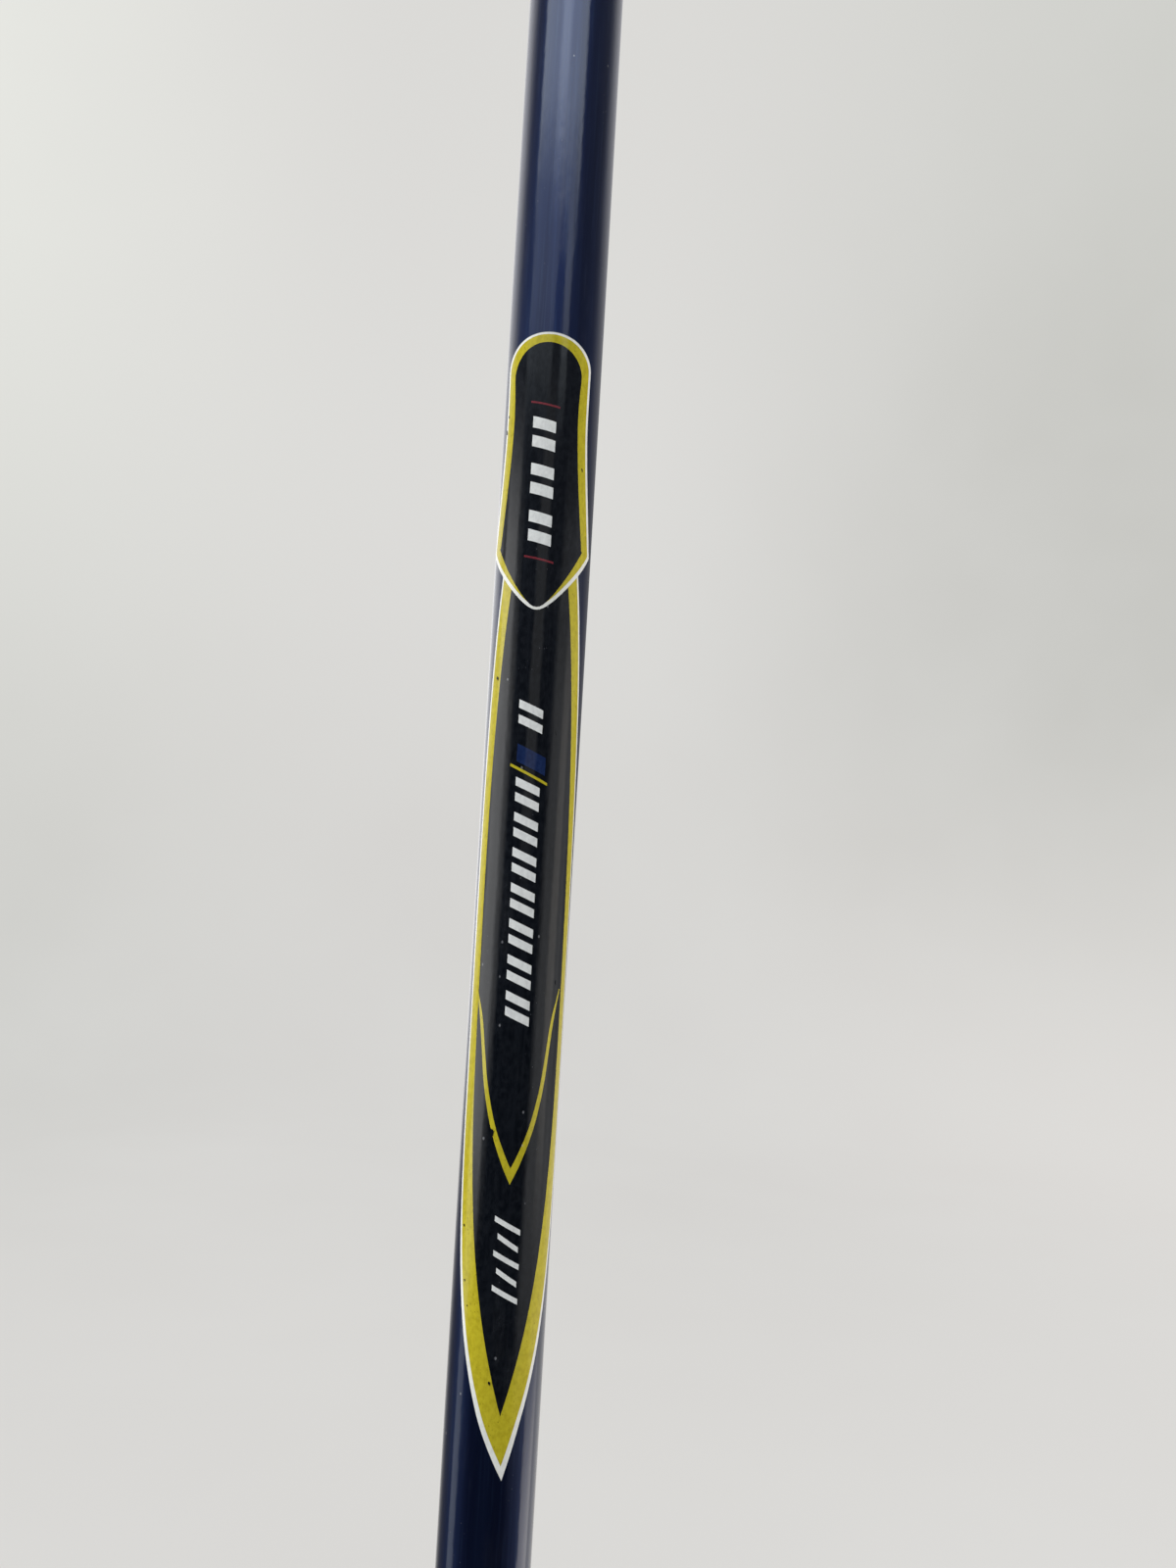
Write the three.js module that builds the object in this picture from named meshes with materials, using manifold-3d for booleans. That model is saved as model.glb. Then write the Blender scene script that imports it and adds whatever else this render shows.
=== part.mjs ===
// A women's fairway wood: a hollow steel head on a tapered graphite shaft with a long wrapped label
// and a slip-on rubber grip. Millimetres. +Z runs up along the shaft's axis, and the origin is the
// middle of the grip cap's top face, so the club hangs below it. The label faces -Y. The toe points
// to -Y and down, and the face looks to +X, as on a right-handed club held with its label upwards.

import * as THREE from "three";
import { mergeVertices } from "three/addons/utils/BufferGeometryUtils.js";
import Module from "manifold-3d";

const wasm = await Module();
wasm.setup();

const radians = THREE.MathUtils.degToRad;

// ---- Driving dimensions ----

const CLUB_LENGTH = 1041; // 41 in, from the cap's top to where the shaft's axis meets the ground
const LIE = radians(58); // the shaft's angle to the ground
const LOFT = radians(19); // the face's lean from upright
const ROUND = 32; // sides of every piece turned about the shaft's axis

const CAP_THICKNESS = 6.4;
const CAP_RADIUS = 13.3;
const VENT_RADIUS = 2;
const GRIP_LENGTH = 267; // 10.5 in
const GRIP_BORE = 8.05;

const BUTT_RADIUS = 7.6; // 0.600 in butt
const TIP_RADIUS = 4.25; // 0.335 in tip
const BUTT_PARALLEL = 206; // the butt end keeps its size this far below the origin
const TIP_PARALLEL = 90; // and the tip end keeps its own this far above the bore's floor
const TAPER_POWER = 1.6; // the taper is gentle below the grip and steeper near the tip
const BUTT_WALL = 1.2;
const TIP_WALL = 1.9;

const HOSEL_TOP = 58; // along the axis, from the ground
const BORE_FLOOR = 20;
const HOSEL_RADIUS = 6.7;
const BORE_RADIUS = 4.5;

const LABEL_TOP = -357;
const LABEL_FILM = 0.12;
const LABEL_GAP = 0.08;

const groundZ = (s) => s - CLUB_LENGTH; // a height along the axis above the ground, in the club's frame

// ---- Materials ----

const finish = (color, roughness, metalness) =>
  new THREE.MeshStandardMaterial({ color, roughness, metalness });

const blueLacquer = finish(0x141c4a, 0.22, 0.3);
const labelInk = finish(0x14161c, 0.25, 0.1);
const headPaint = finish(0x161e52, 0.25, 0.35);
const steel = finish(0xb4b6ba, 0.32, 0.95);
const brass = finish(0xb08d3c, 0.35, 0.9);
const blackPlastic = finish(0x111214, 0.3, 0);
const yellowPlastic = finish(0xc9bd3a, 0.35, 0);
const gripRubber = finish(0x17181b, 0.85, 0);
const paper = finish(0xd9d2b8, 0.9, 0);
const epoxyResin = finish(0xc8b98a, 0.4, 0);
const foam = finish(0xd8cf9a, 0.95, 0);
const corkWood = finish(0xa9794a, 0.9, 0);

// ---- Helpers ----

const group = new THREE.Group();

// The head's own frame stands on the ground: +X to the toe, +Y to the target, +Z up.
const headOnShaft = new THREE.Group();
headOnShaft.position.z = -CLUB_LENGTH;
headOnShaft.rotation.z = -Math.PI / 2;
const headOnGround = new THREE.Group();
headOnGround.rotation.y = Math.PI / 2 - LIE;
headOnShaft.add(headOnGround);
group.add(headOnShaft);

function addPiece(parent, name, geometry, material) {
  const mesh = new THREE.Mesh(geometry, material);
  mesh.name = name;
  parent.add(mesh);
}

function toSolid(geometry) {
  const bare = geometry.clone();
  bare.deleteAttribute("normal");
  bare.deleteAttribute("uv");
  const merged = mergeVertices(bare, 1e-4);
  return new wasm.Manifold(
    new wasm.Mesh({
      numProp: 3,
      vertProperties: new Float32Array(merged.attributes.position.array),
      triVerts: new Uint32Array(merged.index.array),
    }),
  );
}

function toGeometry(solid) {
  const mesh = solid.getMesh();
  const geometry = new THREE.BufferGeometry();
  geometry.setAttribute("position", new THREE.BufferAttribute(mesh.vertProperties, 3));
  geometry.setIndex(new THREE.BufferAttribute(mesh.triVerts, 1));
  geometry.computeVertexNormals();
  return geometry;
}

// Moves every vertex of a geometry by a function that changes the vector it is given.
function reshape(geometry, move) {
  const position = geometry.attributes.position;
  const point = new THREE.Vector3();
  for (let i = 0; i < position.count; i++) {
    point.fromBufferAttribute(position, i);
    move(point);
    position.setXYZ(i, point.x, point.y, point.z);
  }
  return geometry;
}

// A profile of [radius, height] pairs, listed from the bottom up on the outside, turned about +Z.
function turned(profile) {
  const points = profile.map(([r, z]) => new THREE.Vector2(r, z));
  const closed = [...points, points[0].clone()];
  const closes = points[0].x > 0 || points.at(-1).x > 0;
  return new THREE.LatheGeometry(closes ? closed : points, ROUND).rotateX(Math.PI / 2);
}

const ring = (inner, outer, bottom, top) =>
  turned([
    [inner, bottom],
    [outer, bottom],
    [outer, top],
    [inner, top],
  ]);

const rod = (radius, bottom, top) =>
  turned([
    [0, bottom],
    [radius, bottom],
    [radius, top],
    [0, top],
  ]);

const steps = (count, make) => Array.from({ length: count + 1 }, (_, i) => make(i / count));

// ---- Shaft ----

const TIP_END = groundZ(BORE_FLOOR + 2.3);
const BUTT_END = -CAP_THICKNESS - 0.3;
const TAPER_TOP = -BUTT_PARALLEL;
const TAPER_BOTTOM = groundZ(BORE_FLOOR + TIP_PARALLEL);

const taperShare = (z) => THREE.MathUtils.clamp((z - TAPER_BOTTOM) / (TAPER_TOP - TAPER_BOTTOM), 0, 1);
const swell = (z) => 1 - (1 - taperShare(z)) ** TAPER_POWER;
const shaftRadius = (z) => TIP_RADIUS + (BUTT_RADIUS - TIP_RADIUS) * swell(z);
const shaftBore = (z) => shaftRadius(z) - THREE.MathUtils.lerp(TIP_WALL, BUTT_WALL, swell(z));

function makeShaft() {
  const stations = steps(12, (t) => THREE.MathUtils.lerp(TAPER_BOTTOM, TAPER_TOP, t));
  const outside = [TIP_END, ...stations, BUTT_END].map((z) => [shaftRadius(z), z]);
  const inside = [TIP_END, ...stations, BUTT_END].map((z) => [shaftBore(z), z]);
  addPiece(group, "shaft", turned([...outside, ...inside.reverse()]), blueLacquer);
}

// The brass swing-weight pin in the tip, and the cork that keeps it and the glue in place.
function makeTipPlugs() {
  const flangeTop = TIP_END - 0.2;
  const stemRadius = TIP_RADIUS - TIP_WALL - 0.15;
  const stemTop = TIP_END + 24;
  const pin = [
    [0, groundZ(BORE_FLOOR + 0.3)],
    [TIP_RADIUS - 0.1, groundZ(BORE_FLOOR + 0.3)],
    [TIP_RADIUS - 0.1, flangeTop],
    [stemRadius, flangeTop],
    [stemRadius, stemTop],
    [0, stemTop],
  ];
  addPiece(group, "tip_weight_pin", turned(pin), brass);
  addPiece(group, "shaft_cork", rod(stemRadius, stemTop + 0.3, stemTop + 14), corkWood);
}

function makeTipGlue() {
  const glue = ring(TIP_RADIUS + 0.05, BORE_RADIUS - 0.05, TIP_END, groundZ(HOSEL_TOP - 0.5));
  addPiece(group, "tip_epoxy_sleeve", glue, epoxyResin);
}

// ---- Ferrule: a black base, a thin yellow trim ring and a tapered collar ----

function makeFerrule() {
  const bore = TIP_RADIUS + 0.08;
  const baseTop = groundZ(HOSEL_TOP + 8);
  const trimTop = baseTop + 1.6;
  const collarBottom = trimTop + 0.1;
  const collarHeight = 14;
  const collarBase = HOSEL_RADIUS - 0.1;
  const collarMouth = TIP_RADIUS + 0.55;
  const outside = steps(5, (t) => [
    collarMouth + (collarBase - collarMouth) * (1 - t) ** 1.4,
    collarBottom + collarHeight * t,
  ]);
  const inside = [
    [bore, collarBottom + collarHeight],
    [bore, collarBottom],
  ];
  const base = ring(bore, HOSEL_RADIUS, groundZ(HOSEL_TOP + 0.2), baseTop);
  addPiece(group, "ferrule_base", base, blackPlastic);
  const trim = ring(bore, HOSEL_RADIUS + 0.05, baseTop + 0.1, trimTop);
  addPiece(group, "ferrule_trim_ring", trim, yellowPlastic);
  addPiece(group, "ferrule_collar", turned([...outside, ...inside]), blackPlastic);
}

// ---- Label: a film wrapped round the front of the shaft ----

// Half the angle that the film covers, at a distance below its top edge: a waisted badge with a domed
// top and pointed shoulders, and a long blade that comes out from under it and ends in a point.
const BADGE = { dome: 5, waist: 12, waistAngle: 56, shoulder: 33, shoulderAngle: 74.5, tip: 42.6 };
const BLADE = { shoulder: 38.2, widest: 110, halfAngle: 73, tip: 163 };

function badgeHalfAngle(below) {
  const { dome, waist, waistAngle, shoulder, shoulderAngle, tip } = BADGE;
  if (below < dome) return (waistAngle + 1) * Math.sqrt(1 - (1 - below / dome) ** 2);
  if (below < waist) return waistAngle + ((waist - below) / (waist - dome)) ** 2;
  if (below <= shoulder) {
    return waistAngle + (shoulderAngle - waistAngle) * ((below - waist) / (shoulder - waist)) ** 1.65;
  }
  const drop = Math.max(0, tip - below);
  return Math.sqrt((drop + 1.9) ** 2 - 1.9 ** 2) / 0.152;
}

function bladeHalfAngle(below) {
  const { shoulder, widest, halfAngle, tip } = BLADE;
  if (below < shoulder) return 0;
  return below < widest
    ? halfAngle - 21.5 * ((widest - below) / (widest - shoulder)) ** 3.4
    : halfAngle * (1 - ((below - widest) / (tip - widest)) ** 2.8);
}

// The film was laid on slightly askew, and its point hooks a little further round.
function labelCentre(below) {
  const share = below / BLADE.tip;
  return -12 + 18 * share + 6 * share ** 24;
}

const LABEL_COLUMNS = 16;
const LABEL_TURN = 6; // degrees that the edge may move between two rows of the film's mesh
const LABEL_FALL = 7; // and the most that they may lie apart
const LABEL_END_ANGLE = 1; // half the width of the film's blunted ends

// Rows go down the label, closer together where its edge turns quickly.
function labelRows() {
  const halfAngle = (below) => Math.max(LABEL_END_ANGLE, badgeHalfAngle(below), bladeHalfAngle(below));
  const rows = [[0, 20]];
  for (let below = 0.2; below < BLADE.tip; below += 0.1) {
    const [lastBelow, lastAngle] = rows.at(-1);
    const angle = halfAngle(below);
    const nearShoulder = Math.abs(below - BADGE.shoulder) < 0.05;
    if (Math.abs(angle - lastAngle) > LABEL_TURN || below - lastBelow > LABEL_FALL || nearShoulder) {
      rows.push([below, angle]);
    }
  }
  rows.push([BLADE.tip, LABEL_END_ANGLE]);
  return rows;
}

// A box that is one unit wide, tall and deep, wrapped so that x is the angle, y the height and z the depth.
function makeLabel() {
  const rows = labelRows();
  const spans = rows.length - 1;
  const film = new THREE.BoxGeometry(1, 1, 1, LABEL_COLUMNS, spans, 1);
  reshape(film, (p) => {
    const [below, halfAngle] = rows[Math.round((0.5 - p.y) * spans)];
    const angle = radians(labelCentre(below) + 2 * p.x * halfAngle);
    const z = LABEL_TOP - below;
    const radius = shaftRadius(z) + LABEL_GAP + (p.z + 0.5) * LABEL_FILM;
    p.set(radius * Math.sin(angle), -radius * Math.cos(angle), z);
  });
  film.deleteAttribute("normal");
  film.deleteAttribute("uv");
  const wrapped = mergeVertices(film, 1e-4);
  wrapped.computeVertexNormals();
  addPiece(group, "shaft_label", wrapped, labelInk);
}

// ---- Grip: tape round the butt, a tapered rubber sleeve with a lip at its mouth, and a vented cap ----

const GRIP_MOUTH = -GRIP_LENGTH;

function makeGripTape() {
  const seamDegrees = 6; // the strip's two edges don't quite meet
  const inner = BUTT_RADIUS + 0.1;
  const thickness = 0.15;
  const tape = new THREE.BoxGeometry(1, 1, 1, ROUND, 1, 1);
  reshape(tape, (p) => {
    const angle = radians(p.x * (360 - seamDegrees));
    const radius = inner + (p.z + 0.5) * thickness;
    const z = THREE.MathUtils.lerp(GRIP_MOUTH + 3, BUTT_END - 0.5, p.y + 0.5);
    p.set(radius * Math.sin(angle), -radius * Math.cos(angle), z);
  });
  addPiece(group, "grip_tape", tape, paper);
}

function makeGrip() {
  const lipHeight = 5;
  const lipRadius = 9.9;
  const mouthRadius = 9.2;
  const topRadius = 12.9;
  const sleeveTop = -CAP_THICKNESS - 0.3;
  const lipTop = GRIP_MOUTH + lipHeight;
  const sleeve = steps(8, (t) => [
    THREE.MathUtils.lerp(mouthRadius, topRadius, 0.45 * t + 0.55 * t ** 3.2),
    THREE.MathUtils.lerp(lipTop + 1, sleeveTop, t),
  ]);
  const outside = [
    [lipRadius - 0.5, GRIP_MOUTH],
    [lipRadius, GRIP_MOUTH + 0.8],
    [lipRadius, lipTop],
    ...sleeve,
  ];
  const inside = [
    [GRIP_BORE, sleeveTop],
    [GRIP_BORE, GRIP_MOUTH],
  ];
  addPiece(group, "grip_sleeve", turned([...outside, ...inside]), gripRubber);
}

function makeGripCap() {
  const flatRadius = 10.6;
  const roundDepth = 2.6;
  const shoulder = steps(4, (t) => [
    flatRadius + (CAP_RADIUS - flatRadius) * Math.cos((t * Math.PI) / 2),
    -roundDepth + roundDepth * Math.sin((t * Math.PI) / 2),
  ]);
  const profile = [
    [VENT_RADIUS, -CAP_THICKNESS],
    [CAP_RADIUS - 0.3, -CAP_THICKNESS],
    ...shoulder,
    [VENT_RADIUS, 0],
  ];
  addPiece(group, "grip_cap", turned(profile), gripRubber);
}

// ---- Head ----

const HEAD = {
  middle: new THREE.Vector3(26.5, -10, 17),
  halfLength: 45, // heel to toe
  back: 33,
  front: 36, // cut short by the face
  crown: 17,
  sole: 17,
  wall: 1.6,
};
const PLAN_POWER = 2.3;
const CROWN_POWERS = [2.4, 2];
const SOLE_POWERS = [3.2, 2.2];
const TOE_SWELL = 0.12; // the head is deeper at the toe than at the heel

const FACE = {
  progression: 16.5, // the leading edge ahead of the shaft's axis
  height: 16, // of the face's middle above the ground
  radius: 254, // of its bulge and roll, 10 in
};
const FACE_PLATE = { x: 32, z: 16, halfLength: 32, halfHeight: 15, thickness: 2.8, border: 4.5 };
const SOLE_PLATE = { x: 27, y: -13, halfLength: 32, halfWidth: 18 };
const SOLE_PLUG = { x: 27, y: -18, radius: 5 };
const WELD_GAP = 0.3;
const FOAM_GAP = 0.5;
const NECK_FOOT = 9; // along the axis, where the hosel's rounded end lies inside the heel

const signedPower = (value, power) => Math.sign(value) * Math.abs(value) ** power;

// The head's whole form, drawn in by an inset: a sphere stretched along superellipses in plan and height.
function headForm(inset, around = 40, high = 24) {
  const sphere = new THREE.SphereGeometry(1, around, high).rotateX(Math.PI / 2);
  reshape(sphere, (p) => {
    const level = Math.hypot(p.x, p.y);
    const toe = level > 1e-6 ? p.x / level : 1;
    const ahead = level > 1e-6 ? p.y / level : 0;
    const [spread, rise] = p.z > 0 ? CROWN_POWERS : SOLE_POWERS;
    const reach = level ** (2 / spread);
    const depth = (ahead > 0 ? HEAD.front : HEAD.back) - inset;
    const height = (p.z > 0 ? HEAD.crown : HEAD.sole) - inset;
    p.set(
      (HEAD.halfLength - inset) * signedPower(toe, 2 / PLAN_POWER) * reach,
      depth * signedPower(ahead, 2 / PLAN_POWER) * reach * (1 + TOE_SWELL * toe),
      height * signedPower(p.z, 2 / rise),
    ).add(HEAD.middle);
  });
  return toSolid(sphere);
}

// A block that lies between two depths from the face's surface, and bulges and rolls as the face does.
function faceBlock(from, to) {
  const width = 110;
  const height = 90;
  const block = new THREE.BoxGeometry(width, to - from, height, 16, 1, 12).translate(0, (from + to) / 2, 0);
  reshape(block, (p) => {
    p.y -= (p.x ** 2 + p.z ** 2) / (2 * FACE.radius);
  });
  const ahead = FACE.progression - FACE.height * Math.tan(LOFT);
  return toSolid(block.rotateX(LOFT).translate(HEAD.middle.x, ahead, FACE.height));
}

// A solid turned about the shaft's axis, in the head's frame, with heights along it from the ground.
const onHoselAxis = (geometry) => toSolid(geometry.rotateY(LIE - Math.PI / 2));

const OVAL_REACH = 60;

// An oval bar that runs from heel to toe along X, across Y, and stands along Z.
function uprightOval(centreX, centreY, halfLength, halfWidth, height) {
  const bar = new THREE.CylinderGeometry(1, 1, height, 48).rotateX(Math.PI / 2);
  return toSolid(bar.scale(halfLength, halfWidth, 1).translate(centreX, centreY, 0));
}

const soleOval = (gap) =>
  uprightOval(SOLE_PLATE.x, SOLE_PLATE.y, SOLE_PLATE.halfLength + gap, SOLE_PLATE.halfWidth + gap, 18);

const soleHole = (gap) =>
  uprightOval(SOLE_PLUG.x, SOLE_PLUG.y, SOLE_PLUG.radius + gap, SOLE_PLUG.radius + gap, 12);

// The face plate's outline as an oval bar along the target line, kept inside the head's edge.
function faceOval(gap) {
  const bar = new THREE.CylinderGeometry(1, 1, 2 * OVAL_REACH, 48);
  bar.scale(FACE_PLATE.halfLength + gap, 1, FACE_PLATE.halfHeight + gap);
  bar.translate(FACE_PLATE.x, 0, FACE_PLATE.z);
  return toSolid(bar).intersect(headForm(FACE_PLATE.border - gap));
}

// The hosel's neck: straight at the top, flared towards the heel and rounded off inside it.
function makeNeck() {
  const flareTop = 42;
  const flareBottom = 20;
  const flare = 1.6;
  const foot = steps(4, (t) => [
    (HOSEL_RADIUS + flare) * Math.sin((t * Math.PI) / 2),
    flareBottom - (flareBottom - NECK_FOOT) * Math.cos((t * Math.PI) / 2),
  ]);
  const sides = steps(4, (t) => [
    HOSEL_RADIUS + flare * (1 - t) ** 2,
    THREE.MathUtils.lerp(flareBottom, flareTop, t),
  ]);
  return turned([...foot, ...sides.slice(1), [HOSEL_RADIUS, HOSEL_TOP], [0, HOSEL_TOP]]);
}

function makeHead() {
  const behindPlate = -FACE_PLATE.thickness - WELD_GAP;
  const outer = headForm(0).subtract(faceBlock(0, 60));
  const hollow = headForm(HEAD.wall, 32, 18).subtract(faceBlock(behindPlate, 60));
  const shell = outer.subtract(hollow);

  const body = shell
    .subtract(faceOval(WELD_GAP).intersect(faceBlock(behindPlate - 4, 4)))
    .subtract(soleOval(WELD_GAP))
    .add(onHoselAxis(makeNeck()))
    .subtract(onHoselAxis(rod(BORE_RADIUS, BORE_FLOOR, HOSEL_TOP + 5)));
  addPiece(headOnGround, "head_body", toGeometry(body), headPaint);

  const facePlate = faceOval(0).intersect(faceBlock(-FACE_PLATE.thickness, 0));
  addPiece(headOnGround, "face_plate", toGeometry(facePlate), steel);

  const solePlate = shell.intersect(soleOval(0)).subtract(soleHole(WELD_GAP));
  addPiece(headOnGround, "sole_plate", toGeometry(solePlate), steel);

  const plug = outer.intersect(soleHole(0)).subtract(headForm(4, 24, 16));
  addPiece(headOnGround, "sole_plug", toGeometry(plug), brass);

  const core = headForm(HEAD.wall + FOAM_GAP, 32, 18)
    .subtract(faceBlock(behindPlate - FOAM_GAP, 60))
    .subtract(onHoselAxis(rod(HOSEL_RADIUS + 2.2, NECK_FOOT - 0.5, HOSEL_TOP)))
    .subtract(soleHole(0.4));
  addPiece(headOnGround, "foam_core", toGeometry(core), foam);
}

makeShaft();
makeTipPlugs();
makeTipGlue();
makeFerrule();
makeLabel();
makeGripTape();
makeGrip();
makeGripCap();
makeHead();

export default group;
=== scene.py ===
# A women's fairway wood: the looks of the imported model.
# Lengths are in millimetres, and mesh() turns them into metres. The frame is the part's own: +Z up along the
# shaft's axis, from the middle of the grip cap, with the label towards -Y.

import math

import bmesh
import bpy
import numpy as np
from mathutils import Matrix, Vector


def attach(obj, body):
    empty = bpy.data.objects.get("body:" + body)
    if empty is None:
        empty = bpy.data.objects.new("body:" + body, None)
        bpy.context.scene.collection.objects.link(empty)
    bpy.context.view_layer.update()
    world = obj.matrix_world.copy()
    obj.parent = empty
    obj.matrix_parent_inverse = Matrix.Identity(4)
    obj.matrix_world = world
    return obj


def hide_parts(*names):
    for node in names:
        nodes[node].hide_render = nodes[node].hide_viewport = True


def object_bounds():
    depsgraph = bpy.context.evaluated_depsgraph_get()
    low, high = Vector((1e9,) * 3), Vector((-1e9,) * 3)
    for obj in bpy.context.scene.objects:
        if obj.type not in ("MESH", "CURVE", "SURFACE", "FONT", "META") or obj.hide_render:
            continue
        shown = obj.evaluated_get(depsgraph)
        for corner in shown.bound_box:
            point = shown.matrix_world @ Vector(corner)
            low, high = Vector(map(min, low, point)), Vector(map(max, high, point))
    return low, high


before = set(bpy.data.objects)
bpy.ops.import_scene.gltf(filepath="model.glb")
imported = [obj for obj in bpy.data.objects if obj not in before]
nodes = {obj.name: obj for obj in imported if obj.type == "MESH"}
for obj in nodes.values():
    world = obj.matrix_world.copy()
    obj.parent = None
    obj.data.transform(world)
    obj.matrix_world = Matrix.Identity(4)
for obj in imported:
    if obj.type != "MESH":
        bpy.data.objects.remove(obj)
cad_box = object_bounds()
scene = bpy.context.scene
scene.view_settings.view_transform = "Standard"

MM = 0.001
CAMERA_AZIMUTH = -2.5  # degrees from -Y towards +X


# ---- Node helpers ----

class Shader:
    """A node tree under construction: each method adds a node and returns its output."""

    def __init__(self, tree, coordinates="Object"):
        self.tree = tree
        tree.nodes.clear()
        self.coordinates = self.add("TexCoord").outputs[coordinates]

    def add(self, kind, **settings):
        node = self.tree.nodes.new("ShaderNode" + kind)
        for name, value in settings.items():
            setattr(node, name, value)
        return node

    def put(self, socket, value):
        if isinstance(value, bpy.types.NodeSocket):
            self.tree.links.new(value, socket)
        elif hasattr(socket.default_value, "__len__") and not hasattr(value, "__len__"):
            socket.default_value = [value] * len(socket.default_value)
        elif hasattr(value, "__len__") and len(value) == 3 and len(socket.default_value) == 4:
            socket.default_value = (*value, 1)
        else:
            socket.default_value = value

    def math(self, operation, a, b=None):
        node = self.add("Math", operation=operation)
        self.put(node.inputs[0], a)
        if b is not None:
            self.put(node.inputs[1], b)
        return node.outputs[0]

    def times(self, a, b):
        return self.math("MULTIPLY", a, b)

    def plus(self, a, b):
        return self.math("ADD", a, b)

    def minus(self, a, b):
        return self.math("SUBTRACT", a, b)

    def step(self, value, low, high):
        """0 below low, 1 above high, smooth between. low may be above high, which turns it round."""
        node = self.add("MapRange", interpolation_type="SMOOTHSTEP")
        for socket, v in zip(node.inputs, (value, low, high, 0.0, 1.0)):
            self.put(socket, v)
        return node.outputs[0]

    def window(self, value, low, high, soft):
        """1 between low and high, and 0 outside, over soft edges."""
        rise = self.step(value, low - soft, low + soft)
        return self.times(rise, self.step(value, high + soft, high - soft))

    def mix(self, share, a, b):
        node = self.add("Mix", data_type="RGBA")
        for socket, v in ((node.inputs[0], share), (node.inputs[6], a), (node.inputs[7], b)):
            self.put(socket, v)
        return node.outputs[2]

    def place(self):
        """The coordinates one by one, in metres."""
        axes = self.add("SeparateXYZ")
        self.put(axes.inputs[0], self.coordinates)
        return axes.outputs

    def texture(self, kind, scale):
        """A texture with its counts per metre: one number, or one for each axis."""
        node, stretched = self.add(kind), self.add("VectorMath", operation="MULTIPLY")
        self.put(stretched.inputs[0], self.coordinates)
        stretched.inputs[1].default_value = np.full(3, scale, float)
        self.put(node.inputs["Vector"], stretched.outputs[0])
        node.inputs["Scale"].default_value = 1
        return node

    def noise(self, scale, detail=3.0, roughness=0.55):
        node = self.texture("TexNoise", scale)
        node.inputs["Detail"].default_value = detail
        node.inputs["Roughness"].default_value = roughness
        return node.outputs[0]

    def cells(self, scale):
        return self.texture("TexVoronoi", scale).outputs["Distance"]

    def bump(self, height, distance, strength):
        node = self.add("Bump")
        self.put(node.inputs["Height"], height)
        node.inputs["Distance"].default_value = distance
        node.inputs["Strength"].default_value = strength
        return node.outputs[0]

    def principled(self, **inputs):
        node = self.add("BsdfPrincipled")
        names = {name.replace(" ", "_").lower(): socket for name, socket in node.inputs.items()}
        for name, value in inputs.items():
            self.put(names[name], value)
        self.put(self.add("OutputMaterial").inputs[0], node.outputs[0])


def material(name):
    made = bpy.data.materials.new(name)
    made.use_nodes = True
    return made, Shader(made.node_tree)


# ---- The head's own frame: on the ground, +X to the toe, +Y to the target, +Z up ----

CLUB_LENGTH = 1041
LEAN = math.radians(32)  # of the shaft's axis from upright
HEAD_AXES = np.array([  # the club's three axes, each in the head's frame
    [0, 1, 0],
    [-math.cos(LEAN), 0, -math.sin(LEAN)],
    [-math.sin(LEAN), 0, math.cos(LEAN)],
])


def from_head(vertices):
    """From the head's own frame to the club's, both in millimetres."""
    return np.asarray(vertices) @ HEAD_AXES.T + [0, 0, -CLUB_LENGTH]


# ---- Mesh helpers ----

def around(count):
    """Angles spaced evenly round a circle."""
    return np.arange(count) / count * 2 * np.pi


def oval(middle, half_x, half_y, count):
    """Points round an oval in a plane."""
    t = around(count)
    return np.array(middle) + np.stack([half_x * np.cos(t), half_y * np.sin(t)], -1)


def mesh(name, vertices, faces, surface, sharp_angle=30.0, head=False):
    """A mesh object from millimetre vertices, in the club's frame, or with head in the head's own."""
    vertices = np.asarray(vertices, float)
    if head:
        vertices = from_head(vertices)
    data = bpy.data.meshes.new(name)
    data.from_pydata((vertices * MM).tolist(), [], [list(map(int, f)) for f in faces])
    data.validate()
    made = bpy.data.objects.new(name, data)
    scene.collection.objects.link(made)
    data.materials.append(surface)
    smooth(made, sharp_angle)
    return made


def smooth(made, sharp_angle):
    data = made.data
    data.shade_smooth()
    data.set_sharp_from_angle(angle=math.radians(sharp_angle))


def grid_faces(rows, columns, wrap=False):
    """Quads over a grid of vertices stored row by row. With wrap, the last column joins the first."""
    i, j = np.meshgrid(np.arange(rows - 1), np.arange(columns if wrap else columns - 1), indexing="ij")
    k = (j + 1) % columns
    here, above = i * columns, (i + 1) * columns
    quads = np.stack([here + j, here + k, above + k, above + j], -1)
    return quads.reshape(-1, 4).tolist()


def face_out(made, sharp_angle, weld=0.0):
    """Turns the faces outwards, after joining vertices closer than weld, in metres."""
    bm = bmesh.new()
    bm.from_mesh(made.data)
    if weld:
        bmesh.ops.remove_doubles(bm, verts=bm.verts, dist=weld)
    bmesh.ops.recalc_face_normals(bm, faces=bm.faces)
    bm.to_mesh(made.data)
    bm.free()
    smooth(made, sharp_angle)


def ring_faces(rows, columns):
    """Quads over closed rows of vertices, with the last row joined to the first."""
    last = (rows - 1) * columns
    closing = [[last + j, last + (j + 1) % columns, (j + 1) % columns, j] for j in range(columns)]
    return grid_faces(rows, columns, wrap=True) + closing


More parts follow.
